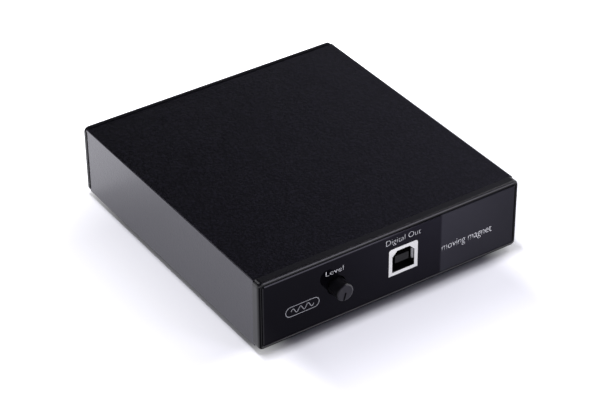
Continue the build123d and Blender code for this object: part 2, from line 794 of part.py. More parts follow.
# The plated shell: a folded box with a flat face round the opening, two springs and two legs.
with BuildPart() as port_shell:
    with BuildSketch(upright(port_front_y)) as port_outline:
        with Locations((port_x, port_z)):
            Rectangle(port_width, port_height)
        fillet(port_outline.vertices().group_by(Axis.Y)[-1], port_outer_radius)
    extrude(amount=-port_length)
    with BuildSketch(upright(port_front_y + port_face_thickness)):
        with Locations((port_x, port_z)):
            RectangleRounded(port_width - 2 * port_wall, port_height - 2 * port_wall, port_inner_radius)
    extrude(amount=-port_length, mode=Mode.SUBTRACT)
    with BuildSketch(upright(port_front_y)) as port_opening:
        with Locations((port_x, port_z)):
            Rectangle(port_opening_width, port_opening_height)
        chamfer(port_opening.vertices().group_by(Axis.Y)[-1], port_opening_chamfer)
    extrude(amount=-port_face_thickness, mode=Mode.SUBTRACT)
    with Locations((port_x, port_back_y, port_z - port_height / 2)):
        Box(
            *port_floor_opening,
            4 * port_wall,
            align=(Align.CENTER, Align.MAX, Align.CENTER),
            mode=Mode.SUBTRACT,
        )
    spring_y = port_front_y + port_face_thickness
    with BuildSketch(Plane.XY.offset(port_z - spring_height / 2)):
        for side in (-1, 1):
            wall_x = port_x + side * port_opening_width / 2
            outer_x = wall_x + side * spring_thickness
            Polygon(
                (wall_x, spring_y),
                (wall_x - side * spring_bulge, spring_y + spring_crest),
                (wall_x, spring_y + spring_length),
                (outer_x, spring_y + spring_length),
                (outer_x, spring_y),
                align=None,
            )
    extrude(amount=spring_height)
    leg_top_z = port_z - port_height / 2 + port_leg_overlap
    leg_length = leg_top_z - board_bottom + lead_reach
    with Locations(*[(x, leg_y, leg_top_z) for x in leg_x]):
        Box(port_wall, port_leg_width, leg_length, align=(Align.CENTER, Align.CENTER, Align.MAX))
save(port_shell, "data_port_shell")

# The insulator: a block inside the shell with a deep opening, a tongue down its middle and a foot.
with BuildPart() as port_insulator:
    insulator_front_y = port_front_y + port_face_thickness
    with BuildSketch(upright(insulator_front_y)):
        with Locations((port_x, port_z)):
            RectangleRounded(port_width - 2 * port_wall, port_height - 2 * port_wall, port_inner_radius)
    extrude(amount=-(port_length - port_face_thickness))
    with BuildSketch(upright(insulator_front_y)) as port_cavity:
        with Locations((port_x, port_z)):
            Rectangle(port_opening_width, port_opening_height)
        chamfer(port_cavity.vertices().group_by(Axis.Y)[-1], port_opening_chamfer)
    extrude(amount=-(port_cavity_depth - port_face_thickness), mode=Mode.SUBTRACT)
    with BuildSketch(upright(port_front_y + tongue_recess)):
        with Locations((port_x, port_z)):
            Rectangle(tongue_width, tongue_height)
    extrude(amount=-(port_length - tongue_recess))
    with Locations((port_x, port_back_y, board_top)):
        Box(*port_foot, port_z - board_top, align=(Align.CENTER, Align.MAX, Align.MIN))
    spring_x = (port_opening_width + spring_thickness) / 2
    with Locations(*[(port_x + s * spring_x, insulator_front_y, port_z) for s in (-1, 1)]):
        Box(
            spring_thickness,
            spring_length,
            spring_height,
            align=(Align.CENTER, Align.MIN, Align.CENTER),
            mode=Mode.SUBTRACT,
        )
    add(port_contacts.part, mode=Mode.SUBTRACT)
save(port_insulator, "data_port_insulator")

# ---- Phono sockets ------------------------------------------------------------------------

# Two moulded blocks, each with a round boss for a left and a right socket.
for side, centre_x in (("input", input_x), ("output", output_x)):
    places = [(x, jack_z) for name, x in jack_places.items() if name.startswith(side)]
    with BuildPart() as housing:
        with BuildSketch(upright(rear_panel_inner_y)):
            with Locations((centre_x, board_top + jack_housing_height / 2)):
                RectangleRounded(jack_housing_width, jack_housing_height, jack_housing_corner)
        extrude(amount=jack_housing_depth)
        with BuildSketch(upright(jack_boss_end_y)):
            with Locations(*places):
                Circle(jack_boss_radius)
        extrude(amount=jack_boss_end_y - rear_panel_inner_y)
        with BuildSketch(upright(jack_boss_end_y)):
            with Locations(*places):
                Circle(jack_root_radius)
        extrude(amount=jack_root_length, mode=Mode.SUBTRACT)
        with BuildSketch(upright(jack_boss_end_y)):
            with Locations(*places):
                Circle(jack_contact_outer)
        extrude(amount=jack_boss_end_y - jack_tail_y, mode=Mode.SUBTRACT)
        with Locations(*[(x, jack_tail_y, board_top) for x, z in places]):
            Box(
                lead_radius * 2,
                lead_radius * 2,
                jack_axis_height,
                align=(Align.CENTER, Align.CENTER, Align.MIN),
                mode=Mode.SUBTRACT,
            )
    save(housing, f"{side}_socket_housing")

for name, x in jack_places.items():
    # The plated outer shell, turned down to a root that sits in the boss.
    with BuildPart() as shell:
        with BuildSketch(upright(jack_end_y)):
            with Locations((x, jack_z)):
                Circle(jack_shell_radius)
        extrude(amount=jack_end_y - jack_boss_end_y)
        chamfer(shell.edges().group_by(Axis.Y)[-1], jack_rim_chamfer)
        with BuildSketch(upright(jack_boss_end_y)):
            with Locations((x, jack_z)):
                Circle(jack_root_radius)
        extrude(amount=jack_root_length)
        with BuildSketch(upright(jack_end_y)):
            with Locations((x, jack_z)):
                Circle(jack_shell_radius - jack_shell_wall)
        extrude(amount=jack_end_y - jack_boss_end_y, mode=Mode.SUBTRACT)
        with BuildSketch(upright(jack_boss_end_y)):
            with Locations((x, jack_z)):
                Circle(jack_root_bore)
        extrude(amount=jack_root_length, mode=Mode.SUBTRACT)
    save(shell, f"{name}_shell")

    # The coloured insulating core, with a lead-in at its mouth and a slimmer root.
    with BuildPart() as core:
        core_end_y = jack_end_y - jack_core_recess
        with BuildSketch(upright(core_end_y)):
            with Locations((x, jack_z)):
                Circle(jack_core_radius)
        extrude(amount=core_end_y - jack_boss_end_y)
        with BuildSketch(upright(jack_boss_end_y)):
            with Locations((x, jack_z)):
                Circle(jack_root_bore)
        extrude(amount=jack_root_length)
        with BuildSketch(upright(core_end_y)):
            with Locations((x, jack_z)):
                Circle(jack_contact_outer)
        extrude(amount=core_end_y - jack_boss_end_y + jack_root_length, mode=Mode.SUBTRACT)
        core_mouth = core.edges().filter_by(GeomType.CIRCLE).group_by(Axis.Y)[-1]
        chamfer(core_mouth.sort_by(SortBy.RADIUS)[0], jack_mouth_chamfer)
    save(core, f"{name}_core")

    # The centre contact: a tube with a blind bore, and a tail that runs down through the board.
    with BuildPart() as contact:
        contact_end_y = jack_end_y - jack_contact_recess
        with BuildSketch(upright(contact_end_y)):
            with Locations((x, jack_z)):
                Circle(jack_contact_outer)
        extrude(amount=contact_end_y - jack_tail_y)
        with BuildSketch(upright(contact_end_y)):
            with Locations((x, jack_z)):
                Circle(jack_contact_bore)
        extrude(amount=jack_contact_depth, mode=Mode.SUBTRACT)
        with Locations((x, jack_tail_y, jack_z)):
            Box(
                lead_radius * 2,
                lead_radius * 2,
                jack_axis_height + lead_length,
                align=(Align.CENTER, Align.CENTER, Align.MAX),
            )
    save(contact, f"{name}_contact")

# ---- Ground terminal ----------------------------------------------------------------------

with BuildPart() as ground_stud:
    with BuildSketch(upright(rear_panel_inner_y)):
        with Locations((ground_x, ground_z)):
            RegularPolygon(stud_head_radius, 6)
    extrude(amount=stud_head_thickness)
    with BuildSketch(upright(stud_end_y)):
        with Locations((ground_x, ground_z)):
            Circle(stud_radius)
    extrude(amount=stud_end_y - rear_panel_inner_y)
    chamfer(ground_stud.edges().group_by(Axis.Y)[-1], stud_chamfer)
save(ground_stud, "ground_stud")

with BuildPart() as ground_lock_nut:
    with BuildSketch(upright(lock_nut_end_y)):
        with Locations((ground_x, ground_z)):
            RegularPolygon(lock_nut_flats / 2, 6, major_radius=False)
            Circle(stud_radius + stud_clearance, mode=Mode.SUBTRACT)
    extrude(amount=lock_nut_thickness)
save(ground_lock_nut, "ground_lock_nut")

with BuildPart() as ground_washer:
    with BuildSketch(upright(washer_end_y)):
        with Locations((ground_x, ground_z)):
            Circle(washer_radius)
            Circle(stud_radius + 2 * stud_clearance, mode=Mode.SUBTRACT)
    extrude(amount=washer_thickness)
save(ground_washer, "ground_washer")

# The knurled nut that is turned by hand to clamp a ground lead.
with BuildPart() as ground_thumb_nut:
    with BuildSketch(upright(thumb_nut_end_y)):
        with Locations((ground_x, ground_z)):
            Circle(thumb_nut_radius)
    extrude(amount=thumb_nut_length)
    chamfer(ground_thumb_nut.edges().group_by(Axis.Y)[-1], thumb_nut_chamfer)
    with BuildSketch(upright(thumb_nut_end_y)):
        with Locations((ground_x, ground_z)):
            Circle(stud_radius + stud_clearance)
            with PolarLocations(thumb_nut_radius, knurl_count):
                RegularPolygon(knurl_radius, 4)
    extrude(amount=thumb_nut_length, mode=Mode.SUBTRACT)
save(ground_thumb_nut, "ground_thumb_nut")

# ---- Power socket -------------------------------------------------------------------------

with BuildPart() as power_spring:
    with Locations((power_x, power_spring_y, power_z - power_mouth_radius)):
        Box(
            power_spring_width,
            power_spring_length,
            power_spring_thickness,
            align=(Align.CENTER, Align.MIN, Align.MAX),
        )
        Box(
            lead_radius * 2,
            lead_radius,
            power_axis_height - power_mouth_radius + lead_length,
            align=(Align.CENTER, Align.MIN, Align.MAX),
        )
save(power_spring, "power_spring_contact")

# The centre pin, with a round tip and a thicker root that sits in the housing.
with BuildPart() as power_pin:
    with BuildSketch(upright(power_floor_y)):
        with Locations((power_x, power_z)):
            Circle(power_pin_radius)
    extrude(amount=-power_pin_length)
    fillet(power_pin.edges().group_by(Axis.Y)[-1], power_pin_tip_radius)
    with BuildSketch(upright(power_floor_y)):
        with Locations((power_x, power_z)):
            Circle(power_pin_root_radius)
    extrude(amount=power_floor_y - power_front_y)
    with Locations((power_x, power_pin_tail_y, power_z)):
        Box(
            lead_radius * 2,
            lead_radius,
            power_axis_height + lead_length,
            align=(Align.CENTER, Align.CENTER, Align.MAX),
        )
save(power_pin, "power_centre_pin")

with BuildPart() as power_socket:
    with BuildSketch(upright(rear_panel_inner_y)):
        with Locations((power_x, board_top + power_height / 2)):
            Rectangle(power_width, power_height)
    extrude(amount=power_length)
    with BuildSketch(upright(rear_panel_outer_y)):
        with Locations((power_x, power_z)):
            Circle(power_collar_radius)
    extrude(amount=rear_panel_thickness)
    with BuildSketch(upright(rear_panel_outer_y)):
        with Locations((power_x, power_z)):
            Circle(power_mouth_radius)
    extrude(amount=power_mouth_depth, mode=Mode.SUBTRACT)
    add(power_pin.part, mode=Mode.SUBTRACT)
    add(power_spring.part, mode=Mode.SUBTRACT)
save(power_socket, "power_socket_housing")

# The strap from the ground stud's head down to the board.
strap_front_y = rear_panel_inner_y - stud_head_thickness - strap_thickness
with BuildPart() as ground_strap:
    with Locations((ground_x, strap_front_y, board_top)):
        Box(
            strap_width,
            strap_thickness,
            ground_z - board_top + strap_width / 2,
            align=(Align.CENTER, Align.MIN, Align.MIN),
        )
    with Locations((ground_x, strap_front_y, board_top)):
        Box(strap_width, strap_foot, strap_thickness, align=(Align.CENTER, Align.MAX, Align.MIN))
save(ground_strap, "ground_strap")
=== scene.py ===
# %% [markdown]
# # A small phono preamplifier, finished for a product render
#
# The object is a flat black box: an extruded sleeve with a powder coat, closed by a moulded bezel at
# each end. The front holds a gloss fascia with a slim level knob and a square data port. The back has
# phono sockets, a ground post and a power socket. Every piece with a real size comes from the packed
# CAD model, which is loaded as a fixed frame. This lesson gives those pieces their finish, and adds
# what is only printed on them.

# %% Load the frame
import json
import math

import bmesh
import bpy
from mathutils import Matrix, Vector


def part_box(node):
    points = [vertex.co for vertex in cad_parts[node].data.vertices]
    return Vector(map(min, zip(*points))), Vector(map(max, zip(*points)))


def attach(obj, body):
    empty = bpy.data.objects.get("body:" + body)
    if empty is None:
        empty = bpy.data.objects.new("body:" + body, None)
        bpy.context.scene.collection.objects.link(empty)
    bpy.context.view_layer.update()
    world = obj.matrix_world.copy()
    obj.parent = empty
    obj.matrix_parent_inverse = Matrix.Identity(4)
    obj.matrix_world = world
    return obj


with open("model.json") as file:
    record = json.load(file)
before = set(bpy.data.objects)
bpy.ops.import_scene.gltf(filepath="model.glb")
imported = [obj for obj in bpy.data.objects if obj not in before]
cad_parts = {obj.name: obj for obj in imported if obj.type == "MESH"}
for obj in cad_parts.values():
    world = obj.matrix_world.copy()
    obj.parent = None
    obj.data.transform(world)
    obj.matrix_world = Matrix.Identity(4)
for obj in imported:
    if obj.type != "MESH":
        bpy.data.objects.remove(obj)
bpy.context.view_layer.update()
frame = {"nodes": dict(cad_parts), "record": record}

record = frame["record"]
nodes = frame["nodes"]
MM = 0.001

# %% [markdown]
# ## The camera
#
# A product shot of a small box is taken from some distance with a long lens, so that its edges stay
# nearly parallel. The camera stands left of the front and looks down on the top. Its place and its
# three angles are plain numbers, so that the view can be read and changed by hand. The axes are
# worked out from the angles: back points from the object to the camera, and right and up follow.

# %% Set up the camera
CAMERA_PLACE = Vector((-0.328365, -0.497833, 0.418461))
CAMERA_AZIMUTH = math.radians(-33.586)
CAMERA_ELEVATION = math.radians(34.593)
CAMERA_ROLL = math.radians(-0.546)
FOCAL_LENGTH = 130.443
SENSOR_WIDTH = 36.0


def camera_axes(azimuth, elevation, roll):
    """The camera's right, up and back directions, for a camera turned round Z, tilted and rolled."""
    back = Vector((
        math.sin(azimuth) * math.cos(elevation),
        -math.cos(azimuth) * math.cos(elevation),
        math.sin(elevation),
    ))
    right = Vector((0, 0, 1)).cross(back).normalized()
    up = back.cross(right)
    rolled_right = right * math.cos(roll) + up * math.sin(roll)
    rolled_up = up * math.cos(roll) - right * math.sin(roll)
    return rolled_right, rolled_up, back


lens = bpy.data.cameras.new("product_camera")
lens.lens = FOCAL_LENGTH
lens.sensor_width = SENSOR_WIDTH
lens.clip_start = 0.01
camera = bpy.data.objects.new("product_camera", lens)
turned = Matrix(camera_axes(CAMERA_AZIMUTH, CAMERA_ELEVATION, CAMERA_ROLL)).transposed()
camera.matrix_world = Matrix.Translation(CAMERA_PLACE) @ turned.to_4x4()
bpy.context.scene.collection.objects.link(camera)
bpy.context.scene.camera = camera
bpy.context.scene.view_settings.view_transform = "Standard"
print("camera at", [round(v, 3) for v in CAMERA_PLACE], "with a lens of", FOCAL_LENGTH, "mm")

# %% [markdown]
# ## Building node trees by hand
#
# Every finish below is made of shader nodes. One helper adds a node and sets its named inputs, and
# another joins two sockets, so that each finish reads as a short list of steps.


# %% Helpers for node trees
def add(tree, kind, settings=None, **inputs):
    """Add a shader node. settings are its own options, and inputs are the values of its sockets."""
    node = tree.nodes.new(kind)
    for name, value in (settings or {}).items():
        setattr(node, name, value)
    for name, value in inputs.items():
        node.inputs[name.replace("_", " ")].default_value = value
    return node


def join(tree, source, target):
    """Join an output socket to an input socket."""
    tree.links.new(source, target)


def math_node(tree, operation, first, second=None):
    """A math step. Each operand is a socket or a plain number."""
    node = add(tree, "ShaderNodeMath", {"operation": operation})
    for socket, value in zip(node.inputs, (first, second)):
        if isinstance(value, bpy.types.NodeSocket):
            join(tree, value, socket)
        elif value is not None:
            socket.default_value = value
    return node.outputs[0]


def remap(tree, value, low, high, to_low=0.0, to_high=1.0, smooth=True):
    """Map a socket's range from low and high to another one, and clamp it there."""
    kind = "SMOOTHSTEP" if smooth else "LINEAR"
    node = add(tree, "ShaderNodeMapRange", {"interpolation_type": kind})
    for name, number in (("From Min", low), ("From Max", high), ("To Min", to_low), ("To Max", to_high)):
        node.inputs[name].default_value = number
    join(tree, value, node.inputs["Value"])
    return node.outputs["Result"]


def blend_colours(tree, share, first, second):
    """Blend two colours by a share from 0 to 1. Each colour is a socket or three numbers."""
    node = add(tree, "ShaderNodeMix", {"data_type": "RGBA"})
    join(tree, share, node.inputs["Factor"])
    for name, colour in (("A", first), ("B", second)):
        socket = next(s for s in node.inputs if s.name == name and s.type == "RGBA")
        if isinstance(colour, bpy.types.NodeSocket):
            join(tree, colour, socket)
        else:
            socket.default_value = (*colour, 1.0)
    return next(s for s in node.outputs if s.type == "RGBA")


print("helpers for nodes ready")

# %% [markdown]
# A finish often asks where a point lies on the object, or which way the surface faces there. Both are
# vectors, and splitting them gives plain numbers to compare. The object's own coordinates are used,
# because they stay put when the object moves.


# %% Helpers for places and directions
def object_point(tree):
    """The point on the surface in the object's own metres."""
    return add(tree, "ShaderNodeTexCoord").outputs["Object"]


def split(tree, vector):
    """The three parts of a vector, by the names X, Y and Z."""
    node = add(tree, "ShaderNodeSeparateXYZ")
    join(tree, vector, node.inputs[0])
    return node.outputs


def place(tree):
    """The three parts of the point on the surface."""
    return split(tree, object_point(tree))


def facing(tree):
    """The three parts of the direction that the surface faces."""
    return split(tree, add(tree, "ShaderNodeNewGeometry").outputs["Normal"])


def unsigned(tree, value):
    """A number without its sign."""
    return math_node(tree, "ABSOLUTE", value)


def product(tree, first, second):
    """Two numbers multiplied."""
    return math_node(tree, "MULTIPLY", first, second)


print("helpers for places ready")

# %% [markdown]
# ## The floor, the world and the lamps
#
# The studio is a white table in front of a white horizon, with a dark ceiling. A black object shows
# what it mirrors: its sides pick up the white table, and its top picks up the dark ceiling, which is
# why the top looks nearly black and the side looks grey. So the world is white low down and dark
# higher up, and the table is a real surface that takes the object's shadow.
#
# The table lifts itself a little for rays from the camera and for mirrored and transmitted rays. That
# makes it plain white without more light on the object. Two soft patches hold the lift back, one that
# reaches out past the case's sides and one past its ends, so that the lamps' shadow stays, and held back
# this way they also paint a soft shade round the case. The lift is strongest behind the object, a
# painted glow that the case's sides mirror, and also far away, where the lamps hardly reach. Right under
# the case the paper's colour is darkened, a painted shade for the light that the matt case swallows in
# that gap. The table is clear from below, so that the underside can be looked at, and clear to shadow
# rays, so that a lamp under it can light that underside.

# %% Where the table lifts itself
LIFT = 0.36
# The painted glow behind the object, which the case's sides mirror.
PAINTED_GLOW_BEHIND = 0.70
LIFT_FAR = 0.80
PAINTED_GLOW_BEHIND_Y = (0.025, 0.085)
FAR_AWAY = (0.45, 1.10)
# Each patch is full up to the first number and gone from the second, in metres from the middle.
SIDE_SHADE = {"X": (0.034, 0.087), "Y": (0.047, 0.055)}
END_SHADE = {"X": (0.036, 0.050), "Y": (0.066, 0.108)}


def patch(tree, reach):
    """1 on the table round the object's middle, fading out along X and Y as reach says."""
    here = place(tree)
    within = [remap(tree, unsigned(tree, here[axis]), *reach[axis], 1.0, 0.0) for axis in "XY"]
    return product(tree, *within)


def floor_lift(tree):
    """How much the table lifts itself: less in the painted shades, more behind the object as a painted glow,
    and far away.
    """
    shade = math_node(tree, "MAXIMUM", patch(tree, SIDE_SHADE), patch(tree, END_SHADE))
    around = remap(tree, shade, 0.0, 1.0, LIFT, 0.0, smooth=False)
    behind = remap(tree, place(tree)["Y"], *PAINTED_GLOW_BEHIND_Y, 0.0, PAINTED_GLOW_BEHIND)
    distance = add(tree, "ShaderNodeVectorMath", {"operation": "LENGTH"})
    join(tree, object_point(tree), distance.inputs[0])
    far = remap(tree, distance.outputs["Value"], *FAR_AWAY, 0.0, LIFT_FAR)
    return math_node(tree, "ADD", around, math_node(tree, "MAXIMUM", behind, far))


print("the table lifts itself by", LIFT, "and by", PAINTED_GLOW_BEHIND, "more behind the object")

# %% [markdown]
# The table itself is one large square. Its material adds up a diffuse paper and that lift, and gives
# way to a clear shader for rays that come from below and for shadow rays.

# %% Build the floor
FLOOR_SIZE = 6.0
FLOOR_COLOUR = (0.80, 0.804, 0.840)
# Painted shade: the paper's darker colour under the case, and the patch where it is darkened.
PAINTED_CONTACT_SHADE = (0.142, 0.138, 0.176)
PAINTED_SHADE_UNDER_CASE = {"X": (0.046, 0.051), "Y": (0.0517, 0.0572)}


def make_floor():
    """A single large square at the height that the feet stand on."""
    half = FLOOR_SIZE / 2
    corners = [(-half, -half, 0), (half, -half, 0), (half, half, 0), (-half, half, 0)]
    mesh = bpy.data.meshes.new("floor")
    mesh.from_pydata(corners, [], [(0, 1, 2, 3)])
    floor = bpy.data.objects.new("floor", mesh)
    bpy.context.scene.collection.objects.link(floor)
    material = bpy.data.materials.new("white_table")
    material.use_nodes = True
    tree = material.node_tree
    tree.nodes.clear()
    paper = add(tree, "ShaderNodeBsdfDiffuse")
    painted_shade_under = patch(tree, PAINTED_SHADE_UNDER_CASE)
    join(tree, blend_colours(tree, painted_shade_under, FLOOR_COLOUR, PAINTED_CONTACT_SHADE), paper.inputs["Color"])
    glow = add(tree, "ShaderNodeEmission", Color=(1, 1, 1, 1))
    path = add(tree, "ShaderNodeLightPath")
    seen = math_node(tree, "MAXIMUM", path.outputs["Is Camera Ray"], path.outputs["Is Glossy Ray"])
    seen = math_node(tree, "MAXIMUM", seen, path.outputs["Is Transmission Ray"])
    join(tree, product(tree, seen, floor_lift(tree)), glow.inputs["Strength"])
    lit = add(tree, "ShaderNodeAddShader")
    join(tree, paper.outputs[0], lit.inputs[0])
    join(tree, glow.outputs[0], lit.inputs[1])
    clear = add(tree, "ShaderNodeBsdfTransparent")
    surface = add(tree, "ShaderNodeMixShader")
    from_below = add(tree, "ShaderNodeNewGeometry").outputs["Backfacing"]
    see_through = math_node(tree, "MAXIMUM", from_below, path.outputs["Is Shadow Ray"])
    join(tree, see_through, surface.inputs[0])
    join(tree, lit.outputs[0], surface.inputs[1])
    join(tree, clear.outputs[0], surface.inputs[2])
    output = add(tree, "ShaderNodeOutputMaterial")
    join(tree, surface.outputs[0], output.inputs["Surface"])
    mesh.materials.append(material)
    return floor


floor = make_floor()
print("floor", FLOOR_SIZE, "m square, height", floor.location.z)

# %% [markdown]
# The world is what the object mirrors above the table. It is white up to the sine of one elevation and
# dark from a higher one. A wide soft glow at the right stands for a window, so that the object's top
# isn't one even black. A picture of a room would also do, but these few numbers are easier to shape.
# To the camera the world is plain white.

# %% Build the world
HORIZON_COLOUR = (0.97, 0.97, 1.0)
CEILING_COLOUR = (0.0055, 0.0052, 0.0075)
WINDOW_COLOUR = (0.46, 0.447, 0.565)
HORIZON_TOP = 0.08
CEILING_START = 0.50
WINDOW_SIDE = (0.905, 0.302, 0.302)
# The cosines of the angle to the window between which the glow grows. It is never full, past 1.
WINDOW_GLOW = (0.68, 1.18)


def make_world():
    """White low down and dark higher up, with a soft glow at the right, but plain white to the camera."""
    world = bpy.data.worlds.new("studio")
    world.use_nodes = True
    tree = world.node_tree
    tree.nodes.clear()
    direction = add(tree, "ShaderNodeTexCoord").outputs["Generated"]
    height = remap(tree, split(tree, direction)["Z"], HORIZON_TOP, CEILING_START)
    toward = add(tree, "ShaderNodeVectorMath", {"operation": "DOT_PRODUCT"})
    join(tree, direction, toward.inputs[0])
    toward.inputs[1].default_value = WINDOW_SIDE
    window = remap(tree, toward.outputs["Value"], *WINDOW_GLOW)
    ceiling = blend_colours(tree, window, CEILING_COLOUR, WINDOW_COLOUR)
    colour = blend_colours(tree, height, HORIZON_COLOUR, ceiling)
    path = add(tree, "ShaderNodeLightPath")
    colour = blend_colours(tree, path.outputs["Is Camera Ray"], colour, (1.0, 1.0, 1.0))
    background = add(tree, "ShaderNodeBackground", Strength=1.0)
    join(tree, colour, background.inputs["Color"])
    output = add(tree, "ShaderNodeOutputWorld")
    join(tree, background.outputs[0], output.inputs["Surface"])
    return world


bpy.context.scene.world = make_world()
print("world made")

# %% [markdown]
# The lamps are softboxes, each a lit rectangle. The overhead one draws the shadow under the front edge.
# Weaker ones behind and at the right light the edges that face them, and a tall bluish strip lights the
# front. The last one hangs below the table.

# %% Hang the lamps
CENTRE = (0.0, 0.0, 0.0)
WHITE_LIGHT = (0.97, 0.96, 1.0)
BLUISH_LIGHT = (0.87, 0.84, 1.0)
LAMPS = {
    # name: (place, aimed at, width, height, watts, colour)
    "overhead": ((-0.06, 0.035, 1.00), CENTRE, 0.20, 0.06, 7.4, WHITE_LIGHT),
    "rear_key": ((-0.25, 0.42, 0.62), CENTRE, 0.30, 0.34, 0.6, WHITE_LIGHT),
    "right_key": ((0.62, 0.05, 0.52), CENTRE, 0.35, 0.35, 1.8, WHITE_LIGHT),
    "front_right_strip": ((0.44, -0.80, 0.47), (0.0, -0.05, 0.02), 0.25, 0.70, 1.85, BLUISH_LIGHT),
    "under_table": ((0.0, -0.10, -0.80), CENTRE, 0.60, 0.60, 6.0, WHITE_LIGHT),
}


def hang_lamp(name, position, target, width, height, power, colour):
    """A rectangular softbox that faces its target."""
    light = bpy.data.lights.new(name, "AREA")
    light.shape = "RECTANGLE"
    light.size = width
    light.size_y = height
    light.energy = power
    light.color = colour
    lamp = bpy.data.objects.new(name, light)
    away = Vector(position) - Vector(target)
    lamp.matrix_world = Matrix.Translation(position) @ away.to_track_quat("Z", "Y").to_matrix().to_4x4()
    bpy.context.scene.collection.objects.link(lamp)
    return lamp


lamps = {lamp_name: hang_lamp(lamp_name, *values) for lamp_name, values in LAMPS.items()}
print("lamps", sorted(lamps))

# %% [markdown]
# The overhead lamp is narrow, so that the shadow under the front edge stays crisp. The thin knob would
# then throw a hard little square on the table as well. Light linking lets this one lamp shine past the
# knob, and the other lamps still give the knob its soft shadows. The lamp also stays out of mirror
# rays, because its mirror image would make the top look white in a view from straight above.

# %% Let the overhead lamp shine past the knob
lamps["overhead"].visible_glossy = False
passed_by = bpy.data.collections.new("passed_by_overhead")
passed_by.objects.link(nodes["level_knob"])
lamps["overhead"].light_linking.blocker_collection = passed_by
passed_by.collection_objects[0].light_linking.link_state = "EXCLUDE"

# %% [markdown]
# The lamp under the table is only there for views from below. Light linking keeps it to the sleeve and
# the feet, so that none of its light spills on what a view from above shows.

# %% Keep the lamp under the table to the underside
underside = bpy.data.collections.new("lit_from_under_the_table")
for name in sorted(nodes):
    if name == "case_sleeve" or name.endswith("_foot_pad"):
        underside.objects.link(nodes[name])
lamps["under_table"].light_linking.receiver_collection = underside

# %% [markdown]
# ## Shared effects
#
# No surface of a real object is one even colour. A powder coat has a fine grain, a moulding is a
# little cloudy, metal carries fine lines from its tool, edges are rubbed brighter, and dust settles
# on what faces up. Each of these effects is used by several finishes, so each is a node group with
# named inputs and outputs, built once. A group only puts out masks and heights. The shader itself
# stays in the material.


# %% Helpers for node groups
def new_group(name, inputs, outputs):
    """An empty node group with float sockets. Returns the tree, its input node and its output node."""
    tree = bpy.data.node_groups.new(name, "ShaderNodeTree")
    for socket_name, value in inputs.items():
        socket = tree.interface.new_socket(socket_name, in_out="INPUT", socket_type="NodeSocketFloat")
        socket.default_value = value
    for socket_name in outputs:
        tree.interface.new_socket(socket_name, in_out="OUTPUT", socket_type="NodeSocketFloat")
    return tree, tree.nodes.new("NodeGroupInput"), tree.nodes.new("NodeGroupOutput")


def noise_at(tree, point, **inputs):
    """A noise texture's node, read at a point."""
    node = add(tree, "ShaderNodeTexNoise", **inputs)
    join(tree, point, node.inputs["Vector"])
    return node


# Nearly all the values of a noise texture lie in this range.
NOISE_RANGE = (0.3, 0.7)
print("helpers for node groups ready")

# %% [markdown]
# ### Grain
#
# A powder coat melts into a skin of tiny bumps, and a moulding tool is spark-eroded to a fine grain.
# Both are noise with features of a few tenths of a millimetre. Size is the width of one bump in
# metres. Height drives the bump, and Cloud is a much larger and softer noise that varies colour.


# %% Grain group
def make_grain():
    tree, given, result = new_group("grain", {"Size": 0.0004, "Cloud Size": 0.012}, ("Height", "Cloud"))
    point = object_point(tree)
    kinds = (("Size", "Height", 3.0, 0.55), ("Cloud Size", "Cloud", 2.0, 0.5))
    for size, output, detail, harshness in kinds:
        noise = noise_at(tree, point, Detail=detail, Roughness=harshness)
        join(tree, math_node(tree, "DIVIDE", 1.0, given.outputs[size]), noise.inputs["Scale"])
        join(tree, remap(tree, noise.outputs["Fac"], *NOISE_RANGE), result.inputs[output])
    return tree


grain_group = make_grain()
print("group", grain_group.name)

# %% [markdown]
# ### Rubbed edges
#
# An edge is touched more than a face, so its coat is thinner and shinier. A bevel node looks at the
# surface round a point: where the rounded normal differs from the true one, there is an edge near.
# Ragged breaks the line up, so that it doesn't look like a drawn stripe.


# %% Edge group
# The cosines of the angle between the true and the rounded normal where an edge starts and is full.
EDGE_TURN = (0.995, 0.86)


def make_edges():
    tree, given, result = new_group("rubbed_edges", {"Width": 0.0004, "Ragged": 0.5}, ("Mask",))
    rounded = add(tree, "ShaderNodeBevel", {"samples": 6})
    join(tree, given.outputs["Width"], rounded.inputs["Radius"])
    true_normal = add(tree, "ShaderNodeNewGeometry").outputs["Normal"]
    same = add(tree, "ShaderNodeVectorMath", {"operation": "DOT_PRODUCT"})
    join(tree, rounded.outputs["Normal"], same.inputs[0])
    join(tree, true_normal, same.inputs[1])
    turned_away = remap(tree, same.outputs["Value"], *EDGE_TURN)
    breaks = noise_at(tree, object_point(tree), Scale=900.0, Detail=3.0)
    gaps = product(tree, remap(tree, breaks.outputs["Fac"], 0.40, 0.60), given.outputs["Ragged"])
    join(tree, math_node(tree, "SUBTRACT", turned_away, gaps), result.inputs["Mask"])
    return tree


edge_group = make_edges()
print("group", edge_group.name)

# %% [markdown]
# ### Settled dust
#
# Dust is only there on faces that look up, and it lies in specks and thin patches. It is kept so
# faint that it is felt more than seen, as on a new product.


# %% Dust group
def make_dust():
    tree, given, result = new_group("settled_dust", {"Amount": 0.2}, ("Mask",))
    facing_up = remap(tree, facing(tree)["Z"], 0.5, 1.0)
    specks = noise_at(tree, object_point(tree), Scale=1600.0, Detail=2.0)
    patches = noise_at(tree, object_point(tree), Scale=60.0, Detail=3.0)
    fine = remap(tree, specks.outputs["Fac"], 0.56, 0.74)
    broad = remap(tree, patches.outputs["Fac"], 0.35, 0.75, 0.2, 1.0)
    lying = product(tree, product(tree, fine, broad), facing_up)
    join(tree, product(tree, lying, given.outputs["Amount"]), result.inputs["Mask"])
    return tree


dust_group = make_dust()
print("group", dust_group.name)

# %% [markdown]
# ### Tool lines
#
# Rolled, turned and wiped surfaces carry fine lines along one direction. They are noise that is
# squeezed across the lines and stretched along them. Across is the width of one line in metres, and
# Along is its length. The lines run along X.


